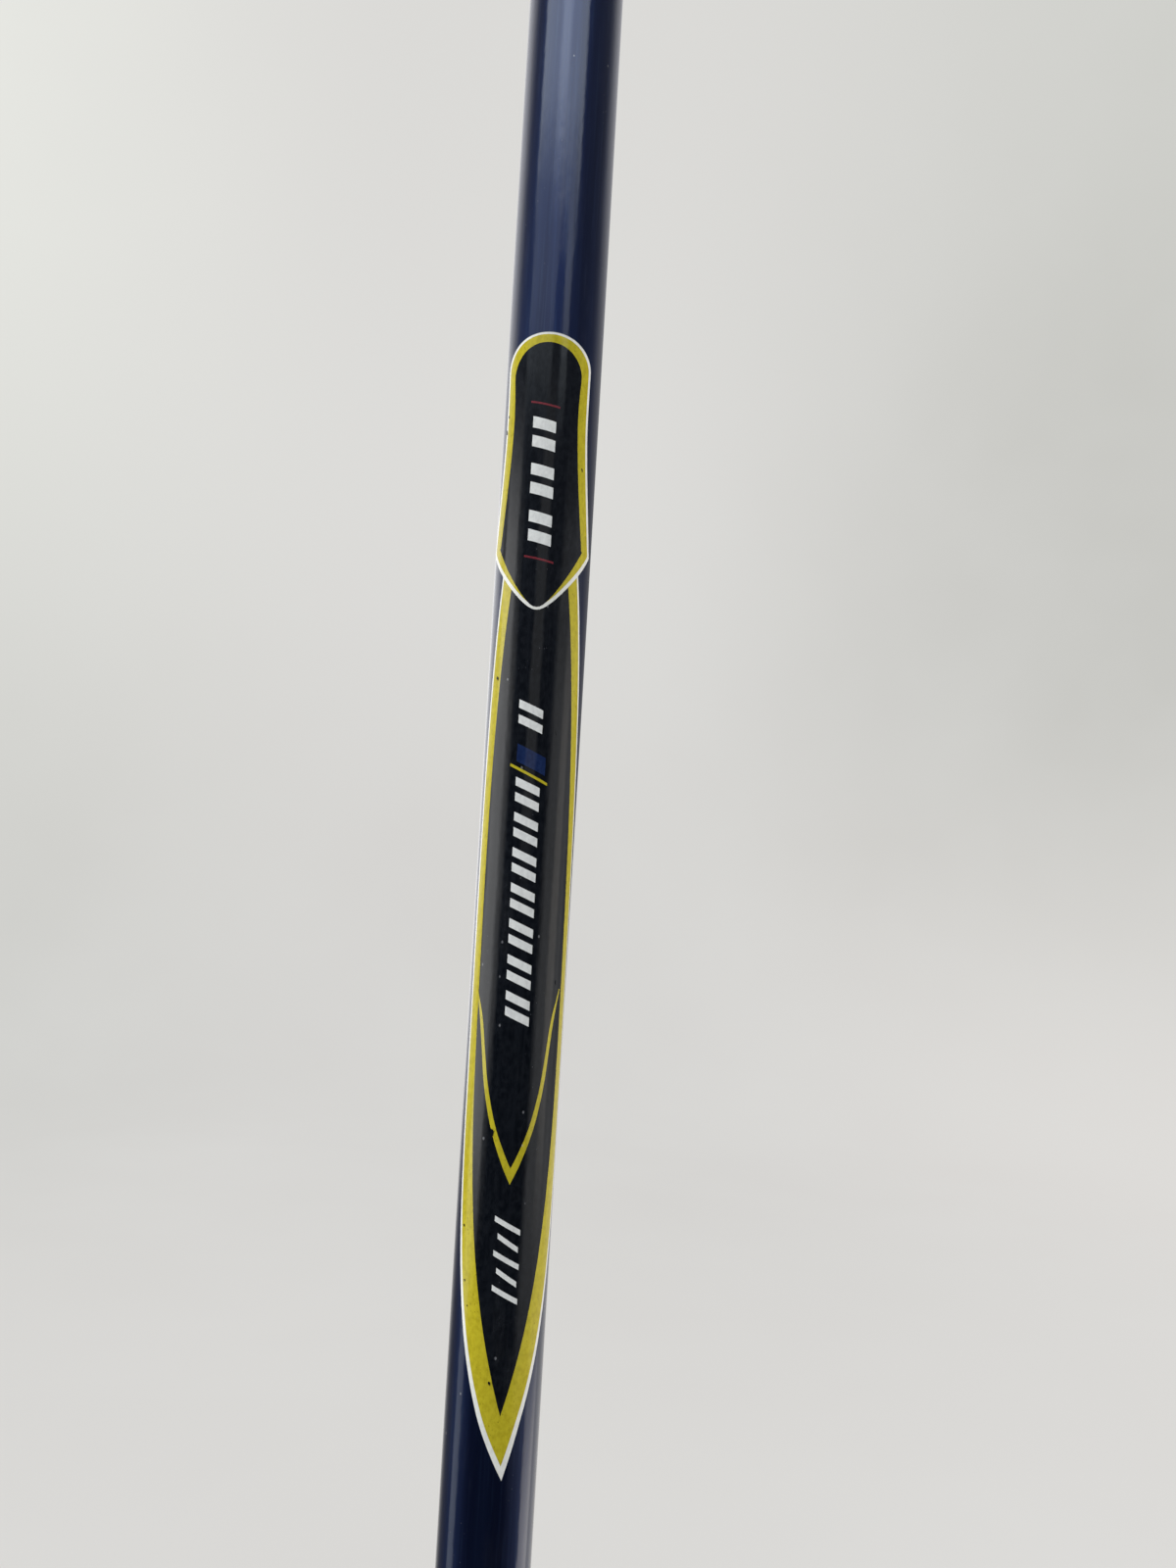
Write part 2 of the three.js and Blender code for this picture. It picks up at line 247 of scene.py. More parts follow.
def turned(name, profile, surface, piece_of, sides=160):
    """A closed profile of (radius, height), upwards on the outside, turned about the shaft's axis."""
    profile = np.asarray(profile, float)
    angles = around(sides)
    r, z = profile[:, 0, None], profile[:, 1, None] + 0 * angles
    vertices = np.stack([r * np.sin(angles), -r * np.cos(angles), z], -1).reshape(-1, 3)
    made = mesh(name, vertices, ring_faces(len(profile), sides), surface)
    face_out(made, 30, weld=1e-7)
    finish_piece(made, piece_of)


def finish_piece(made, node_name):
    """made rides on the one body and stands for this CAD node."""
    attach(made, "root")
    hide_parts(node_name)


# ---- Head: its form ----

LOFT = math.radians(19)
HEAD_MIDDLE = np.array([26.5, -10.0, 17.0])
HALF_LENGTH, BACK, FRONT, HALF_HEIGHT = 45, 33, 36, 17
PLAN_POWER = 2.3  # 2 is an oval, and more is squarer, here and in the sections
CROWN_SPREAD, CROWN_RISE, SOLE_SPREAD, SOLE_RISE = 2.4, 2.0, 3.2, 2.2
FACE_MIDDLE = np.array([26.5, 16.5 - 16 * math.tan(LOFT), 16.0])
FACE_RADIUS = 254
FACE_OVAL = (5.5, 0.0, 32, 15)  # the plate's outline, beside the face's middle
SOLE_OVAL = (27, -13, 32, 18)
PLUG_MIDDLE, PLUG_RADIUS = (27, -18), 5
NECK_RADIUS, NECK_TOP, NECK_FOOT = 6.7, 58, 9
NECK_SPARE = 2  # above the neck's top, for the bore's cutter to face off
BORE_RADIUS, BORE_FLOOR = 4.5, 20
WALL, FACE_WALL, NECK_WALL, SEAM = 1.6, 3.1, 0.4, 0.14
FACE_EDGE, NECK_BLEND, HOLLOW_EDGE = 1.4, 6, 1  # the widths of the form's smooth turns

along_neck = np.array([-math.sin(LEAN), 0, math.cos(LEAN)])


def plan_share(x, y, inset=0):
    """How far out of the head's middle a point lies in plan: 0 in the middle and 1 at the edge."""
    x, y = x - HEAD_MIDDLE[0], y - HEAD_MIDDLE[1]
    along = np.abs(x) / (HALF_LENGTH - inset)
    share = along + 1e-9
    for _ in range(3):
        toe = np.sign(x) * np.minimum(1, along / share) ** 1.15
        across = np.abs(y) / (np.where(y > 0, FRONT, BACK) - inset) / (1 + 0.12 * toe)
        share = (along**PLAN_POWER + across**PLAN_POWER) ** (1 / PLAN_POWER) + 1e-9
    return share


def whole_form(p, inset=0):
    """0 on the head's surface before the face is cut, and less inside."""
    z = p[..., 2] - HEAD_MIDDLE[2]
    spread, rise = np.where(z > 0, CROWN_SPREAD, SOLE_SPREAD), np.where(z > 0, CROWN_RISE, SOLE_RISE)
    share = plan_share(p[..., 0], p[..., 1], inset)
    return share**spread + (np.abs(z) / (HALF_HEIGHT - inset)) ** rise - 1


def as_distance(form, p, *rest):
    """A form's value in millimetres from its surface, true close to it."""
    value, small = form(p, *rest), 0.02
    slopes = [(form(p + small * axis, *rest) - value) / small for axis in np.eye(3)]
    return value / np.maximum(np.sqrt(sum(s * s for s in slopes)), 0.004)


def face_place(p):
    """A point's place on the face: towards the toe, up the face, and out from its bulging surface."""
    x, y, z = np.moveaxis(p - FACE_MIDDLE, -1, 0)
    up = z * math.cos(LOFT) - y * math.sin(LOFT)
    out = y * math.cos(LOFT) + z * math.sin(LOFT)
    return x, up, out + (x * x + up * up) / (2 * FACE_RADIUS)


def on_face(x, up, out):
    """The point at a place on the face."""
    x, up, out = np.broadcast_arrays(x, up, out)
    flat = out - (x * x + up * up) / (2 * FACE_RADIUS)
    y = flat * math.cos(LOFT) - up * math.sin(LOFT)
    z = up * math.cos(LOFT) + flat * math.sin(LOFT)
    return np.stack([x, y, z], -1) + FACE_MIDDLE


def neck_distance(p):
    """Millimetres out from the neck, which flares towards its foot."""
    along = p @ along_neck
    beside = np.linalg.norm(p - along[..., None] * along_neck, axis=-1)
    flare_top, flare_length, most = 42, 22, 1.6
    flare = most * np.clip((flare_top - along) / flare_length, 0, 1) ** 2
    side = larger(beside - NECK_RADIUS - flare, NECK_FOOT - along, NECK_BLEND)
    return np.maximum(side, along - NECK_TOP - NECK_SPARE)


def larger(a, b, blend):
    """The larger of two distances, with a smooth turn from one to the other."""
    return np.maximum(a, b) + np.maximum(blend - np.abs(a - b), 0) ** 2 / (4 * blend)


def smaller(a, b, blend):
    return -larger(-a, -b, blend)


def outer_distance(p):
    """Millimetres out from the head and its neck, before the cuts."""
    head = larger(as_distance(whole_form, p), face_place(p)[2], FACE_EDGE)
    return smaller(head, neck_distance(p), NECK_BLEND)


def inner_distance(p):
    """Millimetres out from the hollow, which keeps clear of the neck."""
    head = larger(as_distance(whole_form, p, WALL), face_place(p)[2] + FACE_WALL, HOLLOW_EDGE)
    return larger(head, NECK_WALL - neck_distance(p), HOLLOW_EDGE)


def sole_height(x, y, inset=0):
    """The underside's height, or that of the form inside it by inset."""
    share = np.minimum(plan_share(x, y, inset), 1)
    return HEAD_MIDDLE[2] - (HALF_HEIGHT - inset) * (1 - share**SOLE_SPREAD) ** (1 / SOLE_RISE)


def surface_net(distance, low, high, cell):
    """A mesh of quads where distance is 0: one vertex in each cell that the surface crosses."""
    steps = [np.arange(a, b + cell, cell) for a, b in zip(low, high)]
    grid = np.stack(np.meshgrid(*steps, indexing="ij"), -1)
    value = distance(grid)
    shape = tuple(n - 1 for n in value.shape)
    total, count = np.zeros((*shape, 3)), np.zeros(shape)
    part = lambda corner: tuple(slice(c, c + n) for c, n in zip(corner, shape))
    for axis in range(3):
        for corner in np.ndindex(2, 2, 2):
            if corner[axis]:
                continue
            end = tuple(c + (i == axis) for i, c in enumerate(corner))
            a, b = value[part(corner)], value[part(end)]
            crossed = (a < 0) != (b < 0)
            share = np.where(crossed, a / np.where(crossed, a - b, 1), 0)
            place = np.broadcast_to(np.array(corner, float), (*shape, 3)).copy()
            place[..., axis] += share
            total += place * crossed[..., None]
            count += crossed
    used = count > 0
    index = np.full(shape, -1)
    index[used] = np.arange(used.sum())
    vertices = (total[used] / count[used][:, None] + np.argwhere(used)) * cell + np.array(low)
    faces = []
    for axis in range(3):
        u, v = [i for i in range(3) if i != axis]
        ahead = np.take(value, range(1, value.shape[axis]), axis) < 0
        behind = np.take(value, range(value.shape[axis] - 1), axis) < 0
        places = np.argwhere(ahead != behind)
        places = places[(places[:, u] > 0) & (places[:, v] > 0)]
        corners = []
        for du, dv in ((0, 0), (1, 0), (1, 1), (0, 1)):
            place = places.copy()
            place[:, u] -= du
            place[:, v] -= dv
            corners.append(index[tuple(np.minimum(place, np.array(shape) - 1).T)])
        quads = np.stack(corners, -1)
        flip = behind[tuple(places.T)] == (axis == 1)
        quads[flip] = quads[flip][:, ::-1]
        faces.append(quads)
    small = 0.01
    for _ in range(3):
        here = distance(vertices)
        slope = np.stack([(distance(vertices + small * axis) - here) / small for axis in np.eye(3)], -1)
        step = here[:, None] * slope / np.maximum((slope**2).sum(-1, keepdims=True), 0.05)
        vertices = vertices - np.clip(step, -cell / 2, cell / 2)
    return vertices, np.concatenate(faces).tolist()


SLIVER = 4e-6  # metres: the booleans' own slivers are shorter


def cut(piece, *cutters):
    """Takes the cutters out of the piece, and throws them away."""
    for cutter in cutters:
        modifier = piece.modifiers.new("cut", "BOOLEAN")
        modifier.operation, modifier.solver, modifier.object = "DIFFERENCE", "MANIFOLD", cutter
    bpy.context.view_layer.update()
    result = piece.evaluated_get(bpy.context.evaluated_depsgraph_get())
    data = bpy.data.meshes.new_from_object(result)
    piece.modifiers.clear()
    data.name = piece.data.name
    piece.data = data
    bm = bmesh.new()
    bm.from_mesh(data)
    bmesh.ops.triangulate(bm, faces=bm.faces)
    bmesh.ops.remove_doubles(bm, verts=bm.verts, dist=SLIVER)
    bmesh.ops.dissolve_degenerate(bm, edges=bm.edges, dist=SLIVER)
    same = {}
    for face in bm.faces:
        same.setdefault(frozenset(v.index for v in face.verts), []).append(face)
    fins = [face for faces in same.values() if len(faces) > 1 for face in faces]
    bmesh.ops.delete(bm, geom=fins, context="FACES")
    bm.to_mesh(data)
    bm.free()
    for cutter in cutters:
        bpy.data.objects.remove(cutter)


def lidded(rings):
    """Closed rings of vertices, the first and last drawn in to a middle point each: vertices and faces."""
    count = len(rings[0])
    vertices = [v for ring in rings for v in ring]
    faces = grid_faces(len(rings), count, wrap=True)
    first, last = len(vertices), (len(rings) - 1) * count
    vertices += [np.mean(rings[0], axis=0), np.mean(rings[-1], axis=0)]
    faces += [[(j + 1) % count, j, first] for j in range(count)]
    faces += [[last + j, last + (j + 1) % count, first + 1] for j in range(count)]
    return np.array(vertices), faces


def closed_piece(name, rings, surface, sharp_angle=30.0):
    """A closed piece of the head, from rings in the head's frame."""
    vertices, faces = lidded(rings)
    made = mesh(name, vertices, faces, surface, sharp_angle, head=True)
    face_out(made, sharp_angle)
    return made


def round_axis(profile):
    """Rings about the neck's axis, in the head's frame, from (radius, distance along the axis) pairs."""
    t = around(96)
    beside = np.array([math.cos(LEAN), 0, math.sin(LEAN)])
    circle = np.cos(t)[:, None] * beside + np.sin(t)[:, None] * [0, 1, 0]
    return [r * circle + s * along_neck for r, s in profile]


# ---- The shaft's size, as in the solids ----

BUTT_RADIUS, TIP_RADIUS = 7.6, 4.25
TAPER_TOP, TAPER_BOTTOM = -206, -931
TAPER_POWER = 1.6
LABEL_TOP, LABEL_LENGTH = -357, 163


def shaft_radius(z):
    share = np.clip((np.asarray(z, float) - TAPER_BOTTOM) / (TAPER_TOP - TAPER_BOTTOM), 0, 1)
    return TIP_RADIUS + (BUTT_RADIUS - TIP_RADIUS) * (1 - (1 - share) ** TAPER_POWER)


# ---- Camera ----

def make_camera():
    """A wide lens close to the label, looking slightly up and rolled a little."""
    distance, height = 175.47, -443.58
    pitch, roll, turn = math.radians(6.393), math.radians(3.104), math.radians(CAMERA_AZIMUTH - 2.84)
    azimuth = math.radians(CAMERA_AZIMUTH)
    forward = Vector((-math.sin(turn) * math.cos(pitch), math.cos(turn) * math.cos(pitch), math.sin(pitch)))
    level = Vector((math.cos(turn), math.sin(turn), 0))
    above = level.cross(forward)
    right = level * math.cos(roll) + above * math.sin(roll)
    up = above * math.cos(roll) - level * math.sin(roll)
    camera = bpy.data.objects.new("camera", bpy.data.cameras.new("camera"))
    scene.collection.objects.link(camera)
    place = Vector((distance * math.sin(azimuth), -distance * math.cos(azimuth), height)) * MM
    turned_axes = Matrix((right, up, -forward)).transposed().to_4x4()
    camera.matrix_world = Matrix.Translation(place) @ turned_axes
    camera.data.lens, camera.data.sensor_width = 27.04, 36
    camera.data.clip_start, camera.data.clip_end = 0.01, 50
    scene.camera = camera


make_camera()


# ---- Light ----

# What the lacquer mirrors: soft-edged panels of light in a darker room, and a pale wall behind the club.
# Each panel is (from, to) in degrees of azimuth, 0 behind the camera and plus to its right, then (from, to)
# in degrees of elevation, then its softness in degrees, its strength and its colour.
COOL, PLAIN, WARM = (0.91, 1.0, 1.08), (1, 1, 1), (1.04, 1.0, 0.95)
PANELS = [
    ((-74, 34), (33, 75), 4, 2.3, COOL),  # a bright ceiling
    ((-30, -8), (33, 75), 6, 3.6, COOL),  # and a lamp on it
    ((-70, -8), (25, 34), 4, 0.75, COOL),
    ((12, 28), (25, 34), 4, 1.1, COOL),
    ((-70, -54), (-10, 16), 8, 0.8, PLAIN),
    ((-102, -66), (-14, 20), 6, 2.0, PLAIN),  # a window, left
    ((-98, -80), (-60, -14), 4, 0.9, COOL),
    ((86, 122), (-60, -20), 5, 1.6, WARM),  # a lit floor, right
    ((46, 112), (-20, 16), 9, 0.6, PLAIN),
    ((72, 92), (-12, 12), 5, 1.1, WARM),
    ((-14, 10), (3, 24), 4, 0.35, PLAIN),
]


def make_world():
    world = bpy.data.worlds.new("studio")
    scene.world = world
    world.use_nodes = True
    s = Shader(world.node_tree, "Generated")
    x, y, z = s.place()
    turn = math.radians(CAMERA_AZIMUTH)
    across = s.plus(s.times(x, math.cos(turn)), s.times(y, math.sin(turn)))
    ahead = s.minus(s.times(y, -math.cos(turn)), s.times(x, -math.sin(turn)))
    azimuth = s.times(s.math("ARCTAN2", across, ahead), 180 / math.pi)
    elevation = s.times(s.math("ARCSINE", z), 180 / math.pi)
    aside = s.math("ABSOLUTE", azimuth)

    room = s.mix(s.step(elevation, -10, 40), (0.02, 0.02, 0.025), (0.10, 0.105, 0.125))
    low_left = s.mix(s.step(aside, 128, 172), (0.10, 0.10, 0.11), (0.72, 0.71, 0.69))
    left = s.mix(s.step(elevation, -14, -1), low_left, (1.30, 1.30, 1.30))
    left = s.mix(s.step(elevation, 14, 32), left, (0.84, 0.84, 0.86))
    right = s.mix(s.step(elevation, 6, -14), (0.20, 0.20, 0.21), (0.62, 0.61, 0.59))
    right = s.mix(s.step(elevation, 16, 42), right, (0.60, 0.60, 0.62))
    behind = s.mix(s.step(across, -0.12, 0.12), left, right)
    total = s.mix(s.step(aside, 96, 132), room, behind)
    for (start, end), (low, high), soft, strength, colour in PANELS:
        inside = s.times(s.window(azimuth, start, end, soft), s.window(elevation, low, high, soft))
        total = s.mix(inside, total, [strength * c for c in colour])
    background = s.add("Background")
    s.put(background.inputs["Color"], total)
    background.inputs["Strength"].default_value = 1
    s.put(s.add("OutputWorld").inputs[0], background.outputs[0])


def area_light(name, place, target, size, power, colour=(1, 1, 1)):
    """A soft lamp that lights surfaces but isn't mirrored in them."""
    data = bpy.data.lights.new(name, "AREA")
    data.shape, data.size, data.energy, data.color = "DISK", size, power, colour
    lamp = bpy.data.objects.new(name, data)
    scene.collection.objects.link(lamp)
    lamp.location = place
    lamp.rotation_euler = (Vector(target) - Vector(place)).to_track_quat("-Z", "Y").to_euler()
    lamp.visible_glossy = False


def make_lights():
    area_light("key_light", (-1.8, -0.5, 0.2), (0, 0, -0.45), 1.0, 25, (1.0, 0.99, 0.97))
    area_light("fill_light", (1.6, -0.45, -0.5), (0, 0, -0.5), 0.9, 15, (1.0, 0.98, 0.95))
    area_light("rim_light", (0.6, 1.6, 0.2), (0, 0, -0.5), 1.0, 8)


def make_cove():
    """A pale floor that curves up into a wall and a ceiling all round, seen by the camera only. It glows with
    painted light rather than being lit, brighter and darker with height and from side to side.
    """
    floor_z = cad_box[0].z / MM - 0.5
    reach, bend, wall_top, vault = 3200, 900, 800, 3400
    quarter = np.linspace(0, math.pi / 2, 13)
    foot = [(reach + bend * math.sin(t), floor_z + bend * (1 - math.cos(t))) for t in quarter]
    dome = [((reach + bend) * math.cos(t), wall_top + vault * math.sin(t)) for t in quarter[:-1]]
    profile = [(0.01, floor_z), (reach * 0.5, floor_z), *foot, *dome, (0.01, wall_top + vault)]
    sides = 96
    vertices = [(r * math.sin(a), -r * math.cos(a), z) for r, z in profile for a in around(sides)]
    surface, s = material("studio_paper_painted_glow")
    # The glow's colour is painted light and shade: it changes with height, differs between the left, the
    # middle and the right, and has soft blotches.
    x, _, z = s.place()
    left = s.mix(s.step(z, -1.3, 2.6), (0.50, 0.50, 0.47), (0.83, 0.84, 0.79))
    right = s.mix(s.step(z, -1.2, 0.6), (0.66, 0.635, 0.61), (0.48, 0.475, 0.445))
    right = s.mix(s.step(z, 0.6, 3.0), right, (0.59, 0.595, 0.56))
    edges = s.mix(s.step(x, -0.5, 0.5), left, right)
    middle = s.mix(s.step(z, -1.3, 1.5), (0.58, 0.565, 0.545), (0.69, 0.68, 0.66))
    paper = s.mix(s.step(s.math("ABSOLUTE", x), 2.2, 0.3), edges, middle)
    uneven = s.mix(s.noise(1.3, 3.0), paper, s.mix(0.5, paper, (0.68, 0.68, 0.66)))
    # Nearly all the brightness is this painted glow; only the faint base colour takes real light and shadow.
    s.principled(
        base_color=(0.08, 0.08, 0.078), roughness=0.95, specular_ior_level=0.0,
        emission_color=uneven, emission_strength=1.0,
    )
    cove = mesh("studio_cove", vertices, grid_faces(len(profile), sides, wrap=True), surface, 60)
    for visibility in ("diffuse", "glossy", "transmission", "shadow"):
        setattr(cove, "visible_" + visibility, False)


make_world()
make_lights()
make_cove()


# ---- Shaft ----

def dusty(s, tone, share):
    """Specks of dust in and on the clear coat, thicker in some places, and faint grey streaks along the shaft
    that are partly smudges and partly a painted sheen of the coat.
    """
    speck = s.step(s.cells((420, 420, 300)), 0.085, 0.04)
    speck = s.times(speck, s.step(s.noise((90, 90, 70), 1.0), 0.52, 0.6))
    fine = s.step(s.cells((1300, 1300, 1000)), 0.10, 0.05)
    fine = s.times(fine, s.step(s.noise((160, 160, 60), 2.0), 0.56, 0.66))
    # Grey streaks along the shaft: partly smudges, partly a painted sheen of the clear coat.
    smudge_and_sheen = s.times(s.step(s.noise((240, 240, 45), 4.0, 0.7), 0.52, 0.74), 0.022)
    dust = s.math("MAXIMUM", s.times(speck, share), s.times(fine, 0.5 * share))
    return s.mix(s.plus(dust, smudge_and_sheen), tone, (0.5, 0.5, 0.52))


def ripple(s):
    """The clear coat's slight waves."""
    return s.bump(s.noise((520, 520, 150), 3.0), 0.00004, 0.8)


def lacquer():
    """Dark blue metallic lacquer under a clear coat, with faint streaks along the graphite and some dust."""
    surface, s = material("blue_lacquer")
    streaks = s.noise((2600, 2600, 60), 4.0, 0.6)
    bands = s.noise((420, 420, 12), 3.0)
    flakes = s.cells(9000)
    blue = s.mix(s.step(bands, 0.3, 0.7), (0.005, 0.012, 0.052), (0.011, 0.023, 0.080))
    blue = s.mix(s.times(s.step(streaks, 0.5, 0.72), 0.5), blue, (0.022, 0.043, 0.110))
    blue = s.mix(s.times(s.step(flakes, 0.16, 0.02), 0.35), blue, (0.05, 0.085, 0.21))
    s.principled(
        base_color=dusty(s, blue, 0.5),
        metallic=0.88,
        roughness=s.plus(0.36, s.times(streaks, 0.14)),
        coat_weight=1.0,
        coat_roughness=0.045,
        coat_ior=1.5,
        normal=s.bump(streaks, 0.00002, 0.4),
        coat_normal=ripple(s),
    )
    return surface


def make_shaft():
    """The tapered graphite tube, with a wall that thickens towards the tip."""
    bottom, top = -CLUB_LENGTH + 22.3, -6.7
    heights = np.unique([bottom, TAPER_BOTTOM, TAPER_TOP, top, *np.arange(-1010, -10, 16.0)])
    outside = [(float(shaft_radius(z)), float(z)) for z in heights]
    butt_wall, tip_wall = 1.2, 1.9
    wall = lambda r: butt_wall + (tip_wall - butt_wall) * (BUTT_RADIUS - r) / (BUTT_RADIUS - TIP_RADIUS)
    inside = [(r - wall(r), z) for r, z in reversed(outside)]
    turned("shaft_tube", outside + inside, lacquer(), "shaft", 144)


make_shaft()


# ---- Label ----

# Each outline gives half the angle that the print covers, in degrees, at a distance below the label's top.

def badge_outline(inset_top, waist, rise, shoulder, corner, tip, slope, blunt):
    """A waisted badge: a domed top, sides that flare to a corner, and a shallow point below."""
    dome, flare = 5, 13  # the dome's height, and how far down the sides begin to flare
    foot = inset_top + dome

    def half_angle(below):
        if below < foot:
            return (waist + rise) * math.sqrt(max(0, 1 - (1 - (below - inset_top) / dome) ** 2))
        if below < flare:
            return waist + rise * ((flare - below) / (flare - foot)) ** 2
        if below <= shoulder:
            return waist + (corner - waist) * ((below - flare) / (shoulder - flare)) ** 1.65
        return math.sqrt((max(0, tip - below) + blunt) ** 2 - blunt**2) / slope

    return half_angle


def blade_outline(shoulder, widest, most, fall, power, tip, end_power):
    """A long blade: narrow under the badge, widest below its middle, and drawn in to a point."""

    def half_angle(below):
        if below < widest:
            return most - fall * ((widest - below) / (widest - shoulder)) ** power
        return most * (1 - ((below - widest) / (tip - widest)) ** end_power)

    return half_angle


def label_centre(below):
    """The angle of the label's middle line, in degrees, which drifts round the shaft."""
    share = below / LABEL_LENGTH
    return -12 + 18 * share + 6 * share**24


def rows_between(outline, start, end, corners):
    """Distances below the label's top, closer together where the outline turns quickly."""
    rows, fine = [start], 0.02
    for below in np.arange(start, end, fine):
        far = below - rows[-1] > 1 or abs(outline(below) - outline(rows[-1])) > 1
        if far or any(abs(below - corner) < fine / 2 for corner in corners):
            rows.append(float(below))
    if end - rows[-1] < fine:
        rows.pop()
    return np.array([*rows, end])


FILM = 0.014  # one layer of print, where it lies on another


def wrapped(name, angles, belows, lift, surface, depth=FILM):
    """A closed film of print, from grids of angles and of distances below the label's top."""
    angles, belows = np.asarray(angles, float), np.asarray(belows, float)
    rows, columns = angles.shape

    def at(extra):
        z = LABEL_TOP - belows
        r = shaft_radius(z) + extra
        a = np.radians(angles)
        return np.stack([r * np.sin(a), -r * np.cos(a), z], -1).reshape(-1, 3)

    rim = [*range(columns)]
    rim += [(i + 1) * columns - 1 for i in range(1, rows)]
    rim += [(rows - 1) * columns + j for j in range(columns - 2, -1, -1)]
    rim += [i * columns for i in range(rows - 2, 0, -1)]
    count = rows * columns
    sheet = grid_faces(rows, columns)
    faces = [face[::-1] for face in sheet] + [[k + count for k in face] for face in sheet]
    faces += [[a, b, count + b, count + a] for a, b in zip(rim, rim[1:] + rim[:1])]
    made = mesh(name, np.concatenate([at(lift), at(lift - depth)]), faces, surface, 40)
    for i, polygon in enumerate(made.data.polygons):
        polygon.use_smooth = i < 2 * len(sheet)
    finish_piece(made, "shaft_label")


def blade_centre(below):
    """The blade was laid on a little further round than the badge, and its point hooks."""
    places = ((30, -6.2), (46, -3.5), (109, 3.6), (142, 5.6), (154.6, 6.6), (161, 10.6))
    return through((*places, (LABEL_LENGTH, 12.6)), below)


def outlined(name, outline, span, lift, surface, middle, corners=(), depth=FILM):
    """A film of print inside an outline, over a span of distances below the label's top."""
    belows = rows_between(outline, *span, corners)
    half = np.array([max(0.15, outline(b)) for b in belows])
    centre = np.array([middle(b) for b in belows])
    across = np.linspace(-1, 1, 29)
    angles = centre[:, None] + half[:, None] * across
    wrapped(name, angles, belows[:, None] + 0 * across, lift, surface, depth)


def through(points, value):
    """A smooth curve through (x, y) points, with no overshoot."""
    x, y = np.array(points, float).T
    slope = np.diff(y) / np.diff(x)
    between = [0 if a * b <= 0 else 2 * a * b / (a + b) for a, b in zip(slope, slope[1:])]
    tangent = [slope[0], *between, slope[-1]]
    i = int(np.clip(np.searchsorted(x, value) - 1, 0, len(x) - 2))
    h = x[i + 1] - x[i]
    t = min(1, max(0, (value - x[i]) / h))
    return (y[i] * (1 + 2 * t) * (1 - t) ** 2 + y[i + 1] * t * t * (3 - 2 * t)
            + h * (tangent[i] * t * (1 - t) ** 2 - tangent[i + 1] * t * t * (1 - t)))


def print_ink(name, colour, second, painted_highlight_share, specks=0.0):
    """Printed ink under the clear coat, a little uneven in tone, with lighter streaks along the shaft that
    are a painted highlight.
    """
    surface, s = material(name)
    grain = s.noise((1500, 1500, 1100), 4.0, 0.65)
    long = s.noise((2200, 2200, 50), 3.0, 0.6)
    tone = s.mix(s.step(grain, 0.35, 0.7), colour, second)
    # Lighter streaks along the shaft: a painted highlight, strongest on the black ink.
    painted_highlight_tone = [0.5 * (a + 1.6 * b) for a, b in zip(colour, second)]
    tone = s.mix(s.times(s.step(long, 0.45, 0.75), painted_highlight_share), tone, painted_highlight_tone)
    if specks:
        dots = s.step(s.cells((2300, 2300, 1500)), 0.24, 0.10)
        crowd = s.step(s.noise((500, 500, 300), 2.0), 0.48, 0.62)
        tone = s.mix(s.times(s.times(dots, crowd), specks), tone, [0.35 * c for c in colour])
    s.principled(
        base_color=dusty(s, tone, 0.28), roughness=0.4, specular_ior_level=0.0,
        coat_weight=1.0, coat_roughness=0.05, coat_ior=1.5,
        coat_normal=ripple(s),
    )
    return surface


# The number after each ink's two colours is its share of painted highlight streaks.
white_ink = print_ink("white_ink", (0.84, 0.83, 0.77), (0.76, 0.75, 0.70), 0.1)
yellow_ink = print_ink("yellow_ink", (0.52, 0.435, 0.024), (0.42, 0.345, 0.017), 0.3, specks=0.7)
black_ink = print_ink("black_ink", (0.0022, 0.0032, 0.0052), (0.0082, 0.0098, 0.0130), 0.7)
silver_ink = print_ink("silver_ink", (0.78, 0.78, 0.75), (0.66, 0.66, 0.64), 0.15)
red_ink = print_ink("red_ink", (0.20, 0.026, 0.035), (0.14, 0.021, 0.028), 0.2)
blue_ink = print_ink("blue_ink", (0.006, 0.015, 0.060), (0.012, 0.026, 0.085), 0.5)

SHOULDER = 33.0  # where the badge is widest, below the label's top
BLADE_TOP = 35  # where the blade starts, under the badge


def make_label():
    """The blade, then the badge over it: each is a white keyline, a yellow border and a black panel."""
    blade = blade_outline(38.2, 110, 73, 21.5, 3.4, LABEL_LENGTH, 2.8)
    outlined("blade_keyline", blade, (BLADE_TOP, LABEL_LENGTH), 0.035, white_ink, blade_centre, depth=0.03)
    tip = 161.1
    blade = blade_outline(38.2, 110, 69.6, 20.9, 3.4, tip, 2.8)
    outlined("blade_border", blade, (BLADE_TOP, tip), 0.050, yellow_ink, blade_centre)
    tip = 154.6
    blade = blade_outline(40, 98, 56.5, 20.5, 2.8, tip, 2.7)
    outlined("blade_panel", blade, (BLADE_TOP, tip), 0.065, black_ink, blade_centre)

    top, corner, tip = 0, SHOULDER, 42.6
    badge = badge_outline(top, 56, 1, corner, 74.5, tip, 0.156, 2.4)
    outlined("badge_keyline", badge, (top, tip), 0.095, white_ink, label_centre, [corner], depth=0.09)
    top, corner, tip = 0.35, SHOULDER - 0.1, 42.0
    badge = badge_outline(top, 52.6, 1, corner, 69, tip, 0.16, 2.3)
    outlined("badge_border", badge, (top, tip), 0.110, yellow_ink, label_centre, [corner])
    top, corner, tip = 1.6, SHOULDER - 0.2, 42.2
    badge = badge_outline(top, 40.4, 2.6, corner, 55.4, tip, 0.212, 3.0)
    outlined("badge_panel", badge, (top, tip), 0.125, black_ink, label_centre, [corner])


